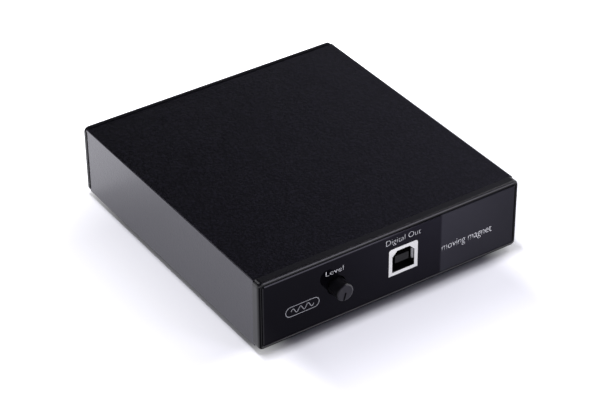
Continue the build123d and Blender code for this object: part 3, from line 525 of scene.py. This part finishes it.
# %% Tool line group
def make_lines():
    tree, given, result = new_group("tool_lines", {"Across": 0.00008, "Along": 0.006}, ("Height",))
    here = place(tree)
    squeezed = add(tree, "ShaderNodeCombineXYZ")
    for axis, size in (("X", "Along"), ("Y", "Across"), ("Z", "Across")):
        join(tree, math_node(tree, "DIVIDE", here[axis], given.outputs[size]), squeezed.inputs[axis])
    noise = noise_at(tree, squeezed.outputs[0], Scale=1.0, Detail=2.0)
    join(tree, remap(tree, noise.outputs["Fac"], *NOISE_RANGE), result.inputs["Height"])
    return tree


line_group = make_lines()
print("group", line_group.name)

# %% [markdown]
# ## Steps that every finish takes
#
# Each finish starts as a bare Principled shader, places the groups above, varies a colour round one
# value, and tilts the surface's normal by a height. Each of these steps is one function.


# %% Helpers for materials
def use_group(tree, group, **inputs):
    """Place a node group and set its inputs."""
    node = add(tree, "ShaderNodeGroup", {"node_tree": group})
    for name, value in inputs.items():
        node.inputs[name.replace("_", " ")].default_value = value
    return node


def new_finish(name):
    """A material with a bare Principled shader. Returns the material, its tree and the shader."""
    material = bpy.data.materials.new(name)
    material.use_nodes = True
    tree = material.node_tree
    tree.nodes.clear()
    shader = add(tree, "ShaderNodeBsdfPrincipled")
    output = add(tree, "ShaderNodeOutputMaterial")
    join(tree, shader.outputs[0], output.inputs["Surface"])
    return material, tree, shader


def scaled(colour, factor):
    """A colour made lighter or darker."""
    return tuple(channel * factor for channel in colour)


def varied(tree, share, colour, darker, lighter):
    """A colour that a mask takes from one factor of it to another."""
    return blend_colours(tree, share, scaled(colour, darker), scaled(colour, lighter))


def bumped(tree, height, relief, under=None, strength=1.0):
    """The normal tilted by a height, on top of another one if given. relief is in metres."""
    node = add(tree, "ShaderNodeBump", Strength=strength, Distance=relief)
    join(tree, height, node.inputs["Height"])
    if under is not None:
        join(tree, under, node.inputs["Normal"])
    return node.outputs["Normal"]


print("helpers for materials ready")

# %% [markdown]
# ## One recipe for the plain finishes
#
# Most pieces differ only in numbers: how dark and how rough they are, how coarse their grain is, and
# how much their edges are rubbed. So one function builds the tree, and a table holds the numbers.
# The groups drive Base Color, Roughness and the bump. What is the same all over a surface, such as
# the strength of its mirror shine, is set on the shader's own socket.

# %% The recipe
DUST_COLOUR = (0.42, 0.41, 0.40)
RUBBED_LIFT = 0.10
SPECKLE_SHARPNESS = 3.0


def plain_finish(name, colour, roughness, metallic=0.0, shine=0.5, grain=0.0004, relief=0.00001,
                 cloud=0.25, uneven=0.06, speckle=0.0, worn=0.25, worn_width=0.00035, dust=0.05, lines=0.0,
                 gloss_of=None, extra=None):
    """A coat, moulding or metal. relief and lines are how high the grain and the tool lines stand."""
    material, tree, shader = new_finish(name)
    shader.inputs["Metallic"].default_value = metallic
    shader.inputs["Specular IOR Level"].default_value = shine
    grains = use_group(tree, grain_group, Size=grain)
    shade = varied(tree, grains.outputs["Cloud"], colour, 1 - cloud, 1 + cloud)
    if speckle:
        peaks = math_node(tree, "POWER", grains.outputs["Height"], SPECKLE_SHARPNESS)
        shade = blend_colours(tree, peaks, shade, scaled(colour, 1 + 2 * speckle))
    edges = use_group(tree, edge_group, Width=worn_width)
    rubbed = product(tree, edges.outputs["Mask"], worn)
    lifted = tuple(channel + RUBBED_LIFT * (1 - channel) for channel in colour)
    shade = blend_colours(tree, remap(tree, rubbed, 0.0, 1.0, smooth=False), shade, lifted)
    dusty = use_group(tree, dust_group, Amount=dust)
    shade = blend_colours(tree, dusty.outputs["Mask"], shade, DUST_COLOUR)
    join(tree, shade, shader.inputs["Base Color"])
    rough = remap(tree, grains.outputs["Cloud"], 0.0, 1.0, roughness - uneven, roughness + uneven)
    join(tree, rough, shader.inputs["Roughness"])
    normal = bumped(tree, grains.outputs["Height"], relief)
    if lines:
        normal = bumped(tree, use_group(tree, line_group).outputs["Height"], lines, normal)
    join(tree, normal, shader.inputs["Normal"])
    if gloss_of:
        join(tree, gloss_of(tree), shader.inputs["Coat Weight"])
    for socket, value in (extra or {}).items():
        shader.inputs[socket].default_value = value
    return material


print("recipe ready")

# %% [markdown]
# ## Where the front bezel shines
#
# A clear coat gives the bezel its shine, and its weight is painted by direction to place highlights.
# It follows the direction in which the surface faces, and on the front also the height: the flanks,
# the rounded upper edge and the top get the most, the front face less and the underside none. The
# narrow sill under the fascia gets a full coat again, as a painted light line under the fascia.

# %% Gloss of the front bezel
BEZEL_TOP_GLOSS = 0.95
BEZEL_FRONT_GLOSS = 0.25
BEZEL_SILL_GLOSS = 1.0
SILL_TOP = (2.9 * MM, 3.0 * MM)
# Each of these is a range of one part of the surface's direction, over which the gloss changes.
FLANK_TURN = (0.42, 1.12)
UPPER_TURN = (0.10, 0.45)
FLAT_TOP_TURN = (0.90, 0.995)
FRONTAL_TURN = (0.93, 1.0)


def painted_bezel_sheen(tree):
    """Painted sheen: most on the flanks, upper edge and sill, nearly so on top, less in front, none below.
    """
    direction = facing(tree)
    flank = remap(tree, unsigned(tree, direction["X"]), *FLANK_TURN)
    upper = remap(tree, direction["Z"], *UPPER_TURN)
    flat_top = remap(tree, direction["Z"], *FLAT_TOP_TURN, 1.0, BEZEL_TOP_GLOSS)
    frontal = remap(tree, unsigned(tree, direction["Y"]), *FRONTAL_TURN)
    sill = remap(tree, place(tree)["Z"], *SILL_TOP, BEZEL_SILL_GLOSS, BEZEL_FRONT_GLOSS)
    raised = math_node(tree, "MAXIMUM", product(tree, upper, flat_top), product(tree, frontal, sill))
    return math_node(tree, "MAXIMUM", flank, raised)


print("bezel gloss ready")

# %% [markdown]
# ## The finishes outside the case
#
# - The sleeve has a nearly black powder coat with a fine leathery grain. It is neither matt nor
#   glossy, so it mirrors the table softly.
# - The bezels are satin mouldings, with a finer and flatter grain than the sleeve's. The rear one has
#   no glossy places.
# - The feet are soft rubber, and the rear panel is a satin plate.
# - The plated pieces are metal with fine tool lines, either a mid grey nickel or gold.
# - The sockets' cores are white and red plastic that lets a little light in.

# %% Finishes for the outside
BLUISH = (0.88, 0.86, 1.0, 1.0)
OUTSIDE = {
    "sleeve_coat": dict(
        colour=(0.0006, 0.00055, 0.0009), roughness=0.21, shine=0.82, grain=0.0008, relief=0.000015,
        cloud=0.1, uneven=0.006, speckle=4.3, worn=0.0, dust=0.001, extra={"Specular Tint": BLUISH},
    ),
    "bezel_black": dict(
        colour=(0.0020, 0.0019, 0.0028), roughness=0.36, shine=0.0, grain=0.00025, relief=0.000003,
        cloud=0.1, uneven=0.02, speckle=0.3, worn=0.0, dust=0.002, gloss_of=painted_bezel_sheen,
        extra={"Specular Tint": BLUISH, "Coat IOR": 1.62, "Coat Roughness": 0.30},
    ),
    "rear_plate": dict(
        colour=(0.009, 0.009, 0.010), roughness=0.42, grain=0.00025, relief=0.000006, cloud=0.15, worn=0.08,
    ),
    "foot_rubber": dict(
        colour=(0.016, 0.016, 0.017), roughness=0.72, shine=0.35, grain=0.0003, relief=0.00001, cloud=0.3,
        worn=0.0, dust=0.2,
    ),
    "black_screw": dict(
        colour=(0.035, 0.035, 0.038), roughness=0.32, metallic=0.85, grain=0.0002, relief=0.000003,
        worn=0.5, worn_width=0.0002,
    ),
    # A darker, shaded copy of the port's plating, so that the rear pieces show against the white table.
    "nickel": dict(
        colour=(0.43, 0.422, 0.41), roughness=0.24, metallic=1.0, grain=0.0003, relief=0.000001, cloud=0.05,
        uneven=0.05, worn=0.1, lines=0.0000012,
    ),
    "gold": dict(
        colour=(0.83, 0.60, 0.24), roughness=0.22, metallic=1.0, grain=0.0003, relief=0.000001, cloud=0.08,
        worn=0.1, lines=0.0000012,
    ),
    "socket_black": dict(
        colour=(0.0055, 0.0055, 0.0065), roughness=0.42, shine=0.2, grain=0.0002, relief=0.000004,
        cloud=0.2, worn=0.1,
    ),
    "core_white": dict(
        colour=(0.78, 0.78, 0.75), roughness=0.34, grain=0.0003, relief=0.000002, cloud=0.03, worn=0.05,
        extra={"Subsurface Weight": 0.15, "Subsurface Scale": 0.0008},
    ),
    "core_red": dict(
        colour=(0.52, 0.020, 0.018), roughness=0.34, grain=0.0003, relief=0.000002, cloud=0.08, worn=0.05,
        extra={"Subsurface Weight": 0.12, "Subsurface Scale": 0.0008},
    ),
}
OUTSIDE["rear_bezel_black"] = dict(OUTSIDE["bezel_black"], gloss_of=None, shine=0.12)
OUTSIDE["port_nickel"] = dict(OUTSIDE["nickel"], colour=(0.78, 0.775, 0.755))
finishes = {name: plain_finish(name, **values) for name, values in OUTSIDE.items()}
print("outside finishes", sorted(finishes))

# %% [markdown]
# The port's shell keeps the brighter copy of the nickel finish, but only its front face shows that.
# Inside, where a plug goes, the colour is darkened by the distance behind the front face, as a
# painted shade for the dark cavity.

# %% The port's dull inside
PAINTED_PORT_SHADE = (0.32, 0.32, 0.32)
PORT_SHADE_DEPTH = (0.05 * MM, 0.5 * MM)


def paint_port_shade(material, front_y):
    """Paint shade on a plated piece behind its front face."""
    tree = material.node_tree
    shader = next(node for node in tree.nodes if node.type == "BSDF_PRINCIPLED")
    plated = shader.inputs["Base Color"].links[0].from_socket
    in_painted_shade = remap(tree, place(tree)["Y"], *(front_y + step for step in PORT_SHADE_DEPTH))
    join(tree, blend_colours(tree, in_painted_shade, plated, PAINTED_PORT_SHADE), shader.inputs["Base Color"])


paint_port_shade(finishes["port_nickel"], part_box("data_port_shell")[0].y)
print("the port is dull inside")

# %% [markdown]
# ## The finishes inside the case
#
# These pieces only show when the case is opened. They still get their own finish, because the part
# may be taken apart or cut open in a picture.

# %% Finishes for the inside
INSIDE = {
    "adhesive": dict(colour=(0.55, 0.55, 0.52), roughness=0.5, grain=0.0006, cloud=0.05, worn=0.0, dust=0.0),
    "tinned": dict(
        colour=(0.66, 0.66, 0.65), roughness=0.34, metallic=1.0, grain=0.0004, relief=0.000002, cloud=0.1,
        uneven=0.1, worn=0.1, lines=0.0000015,
    ),
    "film_case": dict(
        colour=(0.42, 0.045, 0.03), roughness=0.24, grain=0.0008, relief=0.000004, cloud=0.12, worn=0.1,
    ),
    "chip_black": dict(
        colour=(0.018, 0.018, 0.019), roughness=0.55, grain=0.00015, relief=0.000004, worn=0.1,
    ),
    "ferrite": dict(
        colour=(0.035, 0.034, 0.034), roughness=0.62, grain=0.00025, relief=0.00001, cloud=0.3, worn=0.3,
    ),
    "lamp_clear": dict(
        colour=(0.86, 0.88, 0.90), roughness=0.12, grain=0.0005, cloud=0.02, uneven=0.03, worn=0.0, dust=0.0,
        extra={"Transmission Weight": 0.85, "IOR": 1.5},
    ),
}
finishes.update({name: plain_finish(name, **values) for name, values in INSIDE.items()})
print("inside finishes", sorted(INSIDE))

# %% [markdown]
# ## The gloss fascia
#
# The fascia is a polished black sheet. It mirrors its surroundings faintly, so that the knob shows as
# a darker twin beside itself. Its right end carries a painted reflection, a lighter colour which starts
# at a sharp upright boundary and fades towards the far end. Left of the boundary a fainter painted haze
# fades out, and both are darker towards the bottom. Both depend only on the place on the sheet, so they
# stay put when the camera moves. The bevel was cut and flame-polished, so it shines more than the face,
# and the coat on its upper side is a painted sheen.

# %% Fascia finish
panel_low, panel_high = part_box("front_panel")
PAINTED_REFLECTION_START = 19.0 * MM
PAINTED_REFLECTION_SOFTNESS = 0.5 * MM
PAINTED_REFLECTION_COLOUR = (0.042, 0.041, 0.051)
PAINTED_HAZE_START = -34.0 * MM
PAINTED_HAZE_COLOUR = (0.0118, 0.0108, 0.0165)
FASCIA_COLOUR = (0.0012, 0.0011, 0.0017)
BEVEL_GLOSS = 0.3
BEVEL_TOP_PAINTED_SHEEN = 0.5
BEVEL_TURN = 0.9
# What is left of the painted haze at the lower edge, and of the painted reflection at the right end and the
# lower edge.
PAINTED_HAZE_BELOW = 0.3
PAINTED_REFLECTION_AT_END = 0.55
PAINTED_REFLECTION_BELOW = 0.70
FASCIA_ROUGHNESS = (0.035, 0.075)


def make_fascia():
    material, tree, shader = new_finish("fascia_gloss")
    shader.inputs["Specular IOR Level"].default_value = 0.06
    shader.inputs["Specular Tint"].default_value = (0.70, 0.64, 1.0, 1.0)
    shader.inputs["Coat Roughness"].default_value = 0.10
    here = place(tree)
    along, height = here["X"], here["Z"]
    painted_haze_along = remap(tree, along, PAINTED_HAZE_START, PAINTED_REFLECTION_START)
    painted_haze_up = remap(tree, height, panel_low.z, panel_high.z, PAINTED_HAZE_BELOW, 1.0, smooth=False)
    with_painted_haze = blend_colours(tree, product(tree, painted_haze_along, painted_haze_up), FASCIA_COLOUR, PAINTED_HAZE_COLOUR)
    # Where the painted reflection starts, with a soft edge.
    inside = remap(tree, along, PAINTED_REFLECTION_START - PAINTED_REFLECTION_SOFTNESS, PAINTED_REFLECTION_START + PAINTED_REFLECTION_SOFTNESS)
    reflection_fade_along = remap(tree, along, PAINTED_REFLECTION_START, panel_high.x, 1.0, PAINTED_REFLECTION_AT_END, smooth=False)
    reflection_fade_down = remap(tree, height, panel_low.z, panel_high.z, PAINTED_REFLECTION_BELOW, 1.0, smooth=False)
    painted_reflection = blend_colours(tree, product(tree, reflection_fade_along, reflection_fade_down), FASCIA_COLOUR, PAINTED_REFLECTION_COLOUR)
    with_painted_reflection = blend_colours(tree, inside, with_painted_haze, painted_reflection)
    dusty = use_group(tree, dust_group, Amount=0.01)
    join(tree, blend_colours(tree, dusty.outputs["Mask"], with_painted_reflection, DUST_COLOUR), shader.inputs["Base Color"])
    wiped = use_group(tree, grain_group, Size=0.0006, Cloud_Size=0.018)
    rough = remap(tree, wiped.outputs["Cloud"], 0.0, 1.0, *FASCIA_ROUGHNESS)
    join(tree, rough, shader.inputs["Roughness"])
    join(tree, bumped(tree, wiped.outputs["Height"], 0.0000006), shader.inputs["Normal"])
    direction = facing(tree)
    bevel = math_node(tree, "LESS_THAN", unsigned(tree, direction["Y"]), BEVEL_TURN)
    # The upper side of the bevel gets more coat, a painted sheen.
    upper = remap(tree, direction["Z"], 0.0, 0.5, BEVEL_GLOSS, BEVEL_TOP_PAINTED_SHEEN)
    join(tree, product(tree, bevel, upper), shader.inputs["Coat Weight"])
    return material


finishes["fascia_gloss"] = make_fascia()
print("fascia from X", round(panel_low.x, 4), "to", round(panel_high.x, 4))

# %% [markdown]
# ## The knob
#
# The knob is a satin black rod. Its side is a plain moulded skin. Its end was turned flat, which
# leaves fine rings round the axis and a face that scatters more light than the side. The rings come
# from a wave in the distance from the axis, and the face is told apart by its normal along Y, which
# doesn't change when the knob turns. The rounded rim between them is polished, but only the side of it
# that looks to the strip lamp gets a clear coat, so that one short light line stays.

# %% Knob finish
KNOB_SIDE = (0.0034, 0.0033, 0.0042)
KNOB_FACE = (0.016, 0.0145, 0.0215)
KNOB_SPREAD = (0.85, 1.15)
KNOB_ROUGHNESS = (0.34, 0.42)
RING_PITCH = 0.16 * MM
# Each of these is a range of one part of the surface's direction.
KNOB_FACE_TURN = (0.55, 0.98)
RIM_START = (0.05, 0.3)
RIM_END = (0.9, 0.99)
LIT_SIDE = (-0.05, 0.35)


def make_knob():
    material, tree, shader = new_finish("knob_black")
    shader.inputs["Specular IOR Level"].default_value = 0.2
    shader.inputs["Coat IOR"].default_value = 1.6
    shader.inputs["Coat Roughness"].default_value = 0.25
    low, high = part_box("level_knob")
    middle = (low + high) / 2
    direction = facing(tree)
    frontal = unsigned(tree, direction["Y"])
    face = remap(tree, frontal, *KNOB_FACE_TURN)
    rim = product(tree, remap(tree, frontal, *RIM_START), remap(tree, frontal, *RIM_END, 1.0, 0.0))
    lit_side = remap(tree, direction["X"], *LIT_SIDE)
    join(tree, product(tree, rim, lit_side), shader.inputs["Coat Weight"])
    from_axis = add(tree, "ShaderNodeVectorMath", {"operation": "DISTANCE"})
    flat = add(tree, "ShaderNodeVectorMath", {"operation": "MULTIPLY"})
    join(tree, object_point(tree), flat.inputs[0])
    flat.inputs[1].default_value = (1, 0, 1)
    join(tree, flat.outputs[0], from_axis.inputs[0])
    from_axis.inputs[1].default_value = (middle.x, 0, middle.z)
    turns = math_node(tree, "DIVIDE", from_axis.outputs["Value"], RING_PITCH / (2 * math.pi))
    rings = remap(tree, math_node(tree, "SINE", turns), -1.0, 1.0)
    grains = use_group(tree, grain_group, Size=0.00018)
    side = varied(tree, grains.outputs["Cloud"], KNOB_SIDE, *KNOB_SPREAD)
    turned = varied(tree, rings, KNOB_FACE, *KNOB_SPREAD)
    join(tree, blend_colours(tree, face, side, turned), shader.inputs["Base Color"])
    join(tree, remap(tree, grains.outputs["Cloud"], 0.0, 1.0, *KNOB_ROUGHNESS), shader.inputs["Roughness"])
    fine = bumped(tree, grains.outputs["Height"], 0.000003)
    join(tree, bumped(tree, product(tree, rings, face), 0.000002, fine), shader.inputs["Normal"])
    return material


finishes["knob_black"] = make_knob()
print("knob finish made")

# %% [markdown]
# ## The circuit board and what is printed or sleeved on it
#
# A solder mask is a thin green gloss over copper. Where a track runs below it, the green is lighter
# and stands a little higher. The tracks are stripes that a coarse cell pattern turns one way or the
# other, which reads as routing without any drawn picture.

# %% Board finish
TRACK_PITCH = 1.27 * MM
TRACK_HALF_WIDTH = 0.16
CELL_SCALE = 95.0
BOARD_ROUGHNESS = (0.22, 0.34)
MASK_GREEN = (0.012, 0.105, 0.045)
TRACK_GREEN = (0.030, 0.190, 0.080)
BARE_EDGE = (0.36, 0.33, 0.20)


def off_centre(tree, value, pitch):
    """How far a place is from the middle of its own step, as a share of the pitch."""
    phase = math_node(tree, "FRACT", math_node(tree, "DIVIDE", value, pitch))
    return unsigned(tree, math_node(tree, "SUBTRACT", phase, 0.5))


def make_board():
    material, tree, shader = new_finish("board_green")
    here = place(tree)
    cells = add(tree, "ShaderNodeTexVoronoi", {"distance": "CHEBYCHEV"}, Scale=CELL_SCALE)
    join(tree, object_point(tree), cells.inputs["Vector"])
    turn = add(tree, "ShaderNodeSeparateColor")
    join(tree, cells.outputs["Color"], turn.inputs[0])
    along_x = math_node(tree, "GREATER_THAN", turn.outputs["Red"], 0.5)
    track = add(tree, "ShaderNodeMix", {"data_type": "FLOAT"})
    join(tree, along_x, track.inputs["Factor"])
    for axis, socket in (("X", "A"), ("Y", "B")):
        stripe = math_node(tree, "LESS_THAN", off_centre(tree, here[axis], TRACK_PITCH), TRACK_HALF_WIDTH)
        join(tree, stripe, track.inputs[socket])
    shade = blend_colours(tree, track.outputs["Result"], MASK_GREEN, TRACK_GREEN)
    edge = math_node(tree, "LESS_THAN", unsigned(tree, facing(tree)["Z"]), 0.5)
    join(tree, blend_colours(tree, edge, shade, BARE_EDGE), shader.inputs["Base Color"])
    grains = use_group(tree, grain_group, Size=0.0008)
    join(tree, remap(tree, grains.outputs["Cloud"], 0.0, 1.0, *BOARD_ROUGHNESS), shader.inputs["Roughness"])
    join(tree, bumped(tree, track.outputs["Result"], 0.00003, strength=0.6), shader.inputs["Normal"])
    return material


finishes["board_green"] = make_board()
print("board finish made")

# %% [markdown]
# A capacitor can has a dark sleeve up its side and bare aluminium on top, which a face that looks up
# tells apart. A chip resistor has a black glaze in the middle and tinned ends, which repeat at the
# pitch of the row. Both are a dark insulator and a bare metal, told apart by a mask, so one function
# makes them.

# %% Can and resistor finishes
CAN_METAL = (0.72, 0.72, 0.73)
CAN_SLEEVE = (0.012, 0.014, 0.030)
RESISTOR_GLAZE = (0.012, 0.012, 0.013)
RESISTOR_TIN = (0.66, 0.66, 0.65)
RESISTOR_LENGTH = 2.0 * MM
RESISTOR_COLUMNS = 7
# Half the length of the black middle.
RESISTOR_GLAZED = 0.68 * MM


def make_two_tone(name, mask_of, dark, metal, roughness):
    """A finish that is a dark insulator where the mask is 0 and bare metal where it is 1."""
    material, tree, shader = new_finish(name)
    mask = mask_of(tree)
    grains = use_group(tree, grain_group, Size=0.0005)
    shade = varied(tree, grains.outputs["Cloud"], dark, 0.8, 1.25)
    join(tree, blend_colours(tree, mask, shade, metal), shader.inputs["Base Color"])
    join(tree, mask, shader.inputs["Metallic"])
    rough = remap(tree, grains.outputs["Cloud"], 0.0, 1.0, roughness - 0.06, roughness + 0.06)
    join(tree, rough, shader.inputs["Roughness"])
    join(tree, bumped(tree, grains.outputs["Height"], 0.000003), shader.inputs["Normal"])
    return material


def faces_up(tree):
    """1 on a face that looks straight up, and 0 elsewhere."""
    return math_node(tree, "GREATER_THAN", facing(tree)["Z"], 0.9)


def resistor_ends(tree):
    """1 on the two ends of every chip in the rows, which repeat along X."""
    low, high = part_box("chip_resistors")
    pitch = (high.x - low.x - RESISTOR_LENGTH) / (RESISTOR_COLUMNS - 1)
    row_start = low.x + RESISTOR_LENGTH / 2 - pitch / 2
    along_row = math_node(tree, "SUBTRACT", place(tree)["X"], row_start)
    return math_node(tree, "GREATER_THAN", off_centre(tree, along_row, pitch), RESISTOR_GLAZED / pitch)


TWO_TONES = {
    "can_sleeve": (faces_up, CAN_SLEEVE, CAN_METAL, 0.30),
    "resistor_black": (resistor_ends, RESISTOR_GLAZE, RESISTOR_TIN, 0.35),
}
finishes.update({name: make_two_tone(name, *values) for name, values in TWO_TONES.items()})
print("two-tone finishes made")

# %% [markdown]
# ## Giving each CAD piece its finish
#
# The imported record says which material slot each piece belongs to, and every slot has a finish of the
# same name by now. So one loop dresses the whole model, and it stops if a slot has been forgotten. Two
# pieces get a finish of their own: the rear bezel and the data port's shell.

# %% Dress the CAD pieces
slot_of = {part["node"]: part["material_slot"] for part in record["subparts"]}
slot_of["rear_bezel"] = "rear_bezel_black"
slot_of["data_port_shell"] = "port_nickel"
for node_name, obj in nodes.items():
    obj.data.materials.clear()
    obj.data.materials.append(finishes[slot_of[node_name]])
print("dressed", len(nodes), "pieces in", len(set(slot_of.values())), "finishes")

# %% [markdown]
# ## Printed legends
#
# The legends are screen-printed: a film of metallic ink about a hundredth of a millimetre thick, which
# mirrors the table softly. It could be a texture, but a real thin slab keeps a crisp edge in any view
# and goes into the model's mesh. Words are made as text, turned into a mesh and fitted to the width
# and height that they have on the object. Drawn marks are made of ribbons that follow a line at an
# even width. All of them ride with the case.

# %% Ink
INK_THICKNESS = 0.012 * MM


def make_ink(name, colour):
    """A metallic ink that is slightly thin in places, so that its grey varies."""
    return plain_finish(
        name, colour=colour, roughness=0.30, metallic=1.0, grain=0.00012, relief=0.0000004, cloud=0.1,
        worn=0.0, dust=0.0,
    )


silver_ink = make_ink("silver_ink", (0.72, 0.72, 0.74))
grey_ink = make_ink("grey_ink", (0.33, 0.33, 0.345))
print("inks made")

# %% [markdown]
# Every print is drawn flat at the origin, and then one matrix stands it up on its panel. On the back
# its X axis is turned round, so that the words read the right way from behind.


# %% Place a print on the front or the back
def print_matrix(x, y, z, side):
    """A flat drawing's own X and Y become the panel's width and height. side is front or back."""
    across = Vector((1, 0, 0)) if side == "front" else Vector((-1, 0, 0))
    up = Vector((0, 0, 1))
    out = across.cross(up)
    turned = Matrix((across, up, out)).transposed().to_4x4()
    return Matrix.Translation((x, y, z)) @ turned


def add_print(name, mesh, matrix, ink):
    """Put a finished flat mesh on its panel and let it ride with the case."""
    mesh.transform(matrix)
    mesh.materials.clear()
    mesh.materials.append(ink)
    piece = bpy.data.objects.new(name, mesh)
    bpy.context.scene.collection.objects.link(piece)
    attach(piece, "case")
    return piece


print("helpers for placing prints ready")

# %% [markdown]
# A word starts as a text curve. Its offset makes the strokes thicker or thinner, and the mesh that
# comes from it is stretched to its real size. One step of extrusion turns it into a closed slab.


# %% Words
def word_mesh(text, width, height, weight):
    """The words as a thin slab of ink, centred on X, with the baseline at 0. weight thickens or thins."""
    curve = bpy.data.curves.new("word", "FONT")
    curve.body = text
    curve.offset = weight
    curve.resolution_u = 4
    holder = bpy.data.objects.new("word", curve)
    bpy.context.scene.collection.objects.link(holder)
    bpy.context.view_layer.update()
    shaped = holder.evaluated_get(bpy.context.evaluated_depsgraph_get())
    flat = bpy.data.meshes.new_from_object(shaped)
    bpy.data.objects.remove(holder)
    xs = [v.co.x for v in flat.vertices]
    capital = max(v.co.y for v in flat.vertices)
    fit = Matrix.Diagonal((width / (max(xs) - min(xs)), height / capital, 1, 1))
    flat.transform(fit @ Matrix.Translation((-(max(xs) + min(xs)) / 2, 0, 0)))
    return thicken(flat)


def thicken(flat):
    """Turn a flat mesh at Z 0 into a closed slab of ink."""
    form = bmesh.new()
    form.from_mesh(flat)
    bmesh.ops.remove_doubles(form, verts=form.verts, dist=0.001 * MM)
    raised = bmesh.ops.extrude_face_region(form, geom=form.faces[:])
    top = [v for v in raised["geom"] if isinstance(v, bmesh.types.BMVert)]
    bmesh.ops.translate(form, verts=top, vec=(0, 0, INK_THICKNESS))
    bmesh.ops.recalc_face_normals(form, faces=form.faces)
    form.to_mesh(flat)
    form.free()
    return flat


print("helpers for words ready")

# %% [markdown]
# A drawn line could be a curve with a bevel, but that makes a round wire. A ribbon is flat like ink:
# at every point of the line it takes one step to the left and one to the right, half a width each.


# %% Ribbons
def ribbon_mesh(points, width, closed=False):
    """A strip of even width that follows points in the XY plane, as a thin slab of ink."""
    count = len(points)
    left, right = [], []
    for index in range(count):
        before = points[(index - 1) % count] if closed or index else points[0]
        after = points[(index + 1) % count] if closed or index < count - 1 else points[-1]
        along = (Vector(after) - Vector(before)).normalized()
        across = Vector((-along.y, along.x)) * width / 2
        here = Vector(points[index])
        left.append((*(here + across), 0))
        right.append((*(here - across), 0))
    spans = count if closed else count - 1
    faces = [(i, (i + 1) % count, count + (i + 1) % count, count + i) for i in range(spans)]
    flat = bpy.data.meshes.new("ribbon")
    flat.from_pydata(left + right, [], faces)
    return thicken(flat)


print("helper for ribbons ready")

# %% [markdown]
# ### The front legends
#
# The word above the knob sits a little left of the knob's middle, and the words above the port are
# centred on the port. Both places are worked out from the pieces. The words at the lower right say
# what kind of cartridge the input takes, and their place is measured from the middle of the case.

# %% Front words
knob_low, knob_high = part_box("level_knob")
port_low, port_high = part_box("data_port_shell")
knob_axis = (knob_low + knob_high) / 2
port_middle = (port_low + port_high) / 2
level_place = (knob_axis.x - 0.68 * MM, knob_axis.z + 4.7 * MM)
data_port_place = (port_middle.x, port_high.z + 1.9 * MM)
input_kind_place = (29.4 * MM, 11.3 * MM)
FRONT_WORDS = {
    # name: (text, middle in X and baseline in Z, width, height, weight)
    "legend_level": ("Level", level_place, 6.6 * MM, 2.0 * MM, -0.012),
    "legend_data_port": ("Digital Out", data_port_place, 13.4 * MM, 2.1 * MM, -0.018),
    "legend_input_kind": ("moving magnet", input_kind_place, 20.0 * MM, 2.6 * MM, -0.008),
}
for name, (text, (x, z), width, height, weight) in FRONT_WORDS.items():
    matrix = print_matrix(x, panel_low.y, z, "front")
    add_print(name, word_mesh(text, width, height, weight), matrix, silver_ink)
print("front words", [values[0] for values in FRONT_WORDS.values()])

# %% [markdown]
# ### The mark at the lower left
#
# A small outlined mark sits at the lower left of the fascia. Here it is a generic one: a thin pill
# outline with a plain wave in it, the common sign for an alternating signal.

# %% Pill and wave
MARK_MIDDLE = (-34.1 * MM, 12.0 * MM)
MARK_SIZE = (12.4 * MM, 3.6 * MM)
MARK_LINE = 0.24 * MM
WAVE_SWING = 0.85 * MM
WAVE_TURNS = 3
WAVE_MARGIN = 2.0 * MM


def pill_points(width, height, steps=12):
    """Points round a pill: two half circles joined by straight sides."""
    radius = height / 2
    points = []
    for side in (1, -1):
        for step in range(steps + 1):
            angle = -math.pi / 2 + math.pi * step / steps + (0 if side == 1 else math.pi)
            across = side * (width / 2 - radius) + radius * math.cos(angle)
            points.append((across, radius * math.sin(angle)))
    return points


def wave_points(width, swing, turns, steps=72):
    """Points along a plain sine wave."""
    shares = [step / steps for step in range(steps + 1)]
    return [((s - 0.5) * width, swing * math.sin(2 * math.pi * turns * s)) for s in shares]


mark_place = print_matrix(MARK_MIDDLE[0], panel_low.y, MARK_MIDDLE[1], "front")
pill = ribbon_mesh(pill_points(*MARK_SIZE), MARK_LINE, closed=True)
wave = ribbon_mesh(wave_points(MARK_SIZE[0] - 2 * WAVE_MARGIN, WAVE_SWING, WAVE_TURNS), MARK_LINE)
add_print("mark_pill", pill, mark_place, grey_ink)
add_print("mark_wave", wave, mark_place, grey_ink)
print("mark", [round(v, 4) for v in MARK_SIZE])

# %% [markdown]
# ### The rear legends
#
# Each pair of sockets has its name between an L and an R, and the ground post and the power socket
# have theirs above them. They are the plain words that any such object carries.

# %% Rear words
REAR_HEIGHT = 1.9 * MM
REAR_WEIGHT = -0.005
LETTER_WIDTH = 1.2 * MM
ABOVE_SOCKETS = 2.0 * MM
rear_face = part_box("rear_panel")[1].y
rear_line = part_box("input_left_shell")[1].z + ABOVE_SOCKETS


def middle_x(node_name):
    """The middle of a CAD piece along X."""
    low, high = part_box(node_name)
    return (low.x + high.x) / 2


def rear_word(name, text, x, width):
    """One word on the rear panel, on the shared baseline."""
    matrix = print_matrix(x, rear_face, rear_line, "back")
    add_print(name, word_mesh(text, width, REAR_HEIGHT, REAR_WEIGHT), matrix, silver_ink)


for pair, width in (("input", 5.2 * MM), ("output", 6.6 * MM)):
    left = middle_x(f"{pair}_left_shell")
    right = middle_x(f"{pair}_right_shell")
    rear_word(f"legend_{pair}", pair.capitalize(), (left + right) / 2, width)
    rear_word(f"legend_{pair}_left", "L", left, LETTER_WIDTH)
    rear_word(f"legend_{pair}_right", "R", right, LETTER_WIDTH)
rear_word("legend_ground", "Ground", middle_x("ground_stud"), 7.4 * MM)
rear_word("legend_power", "Power", middle_x("power_socket_housing"), 6.2 * MM)
print("rear words on the line", round(rear_line, 4))
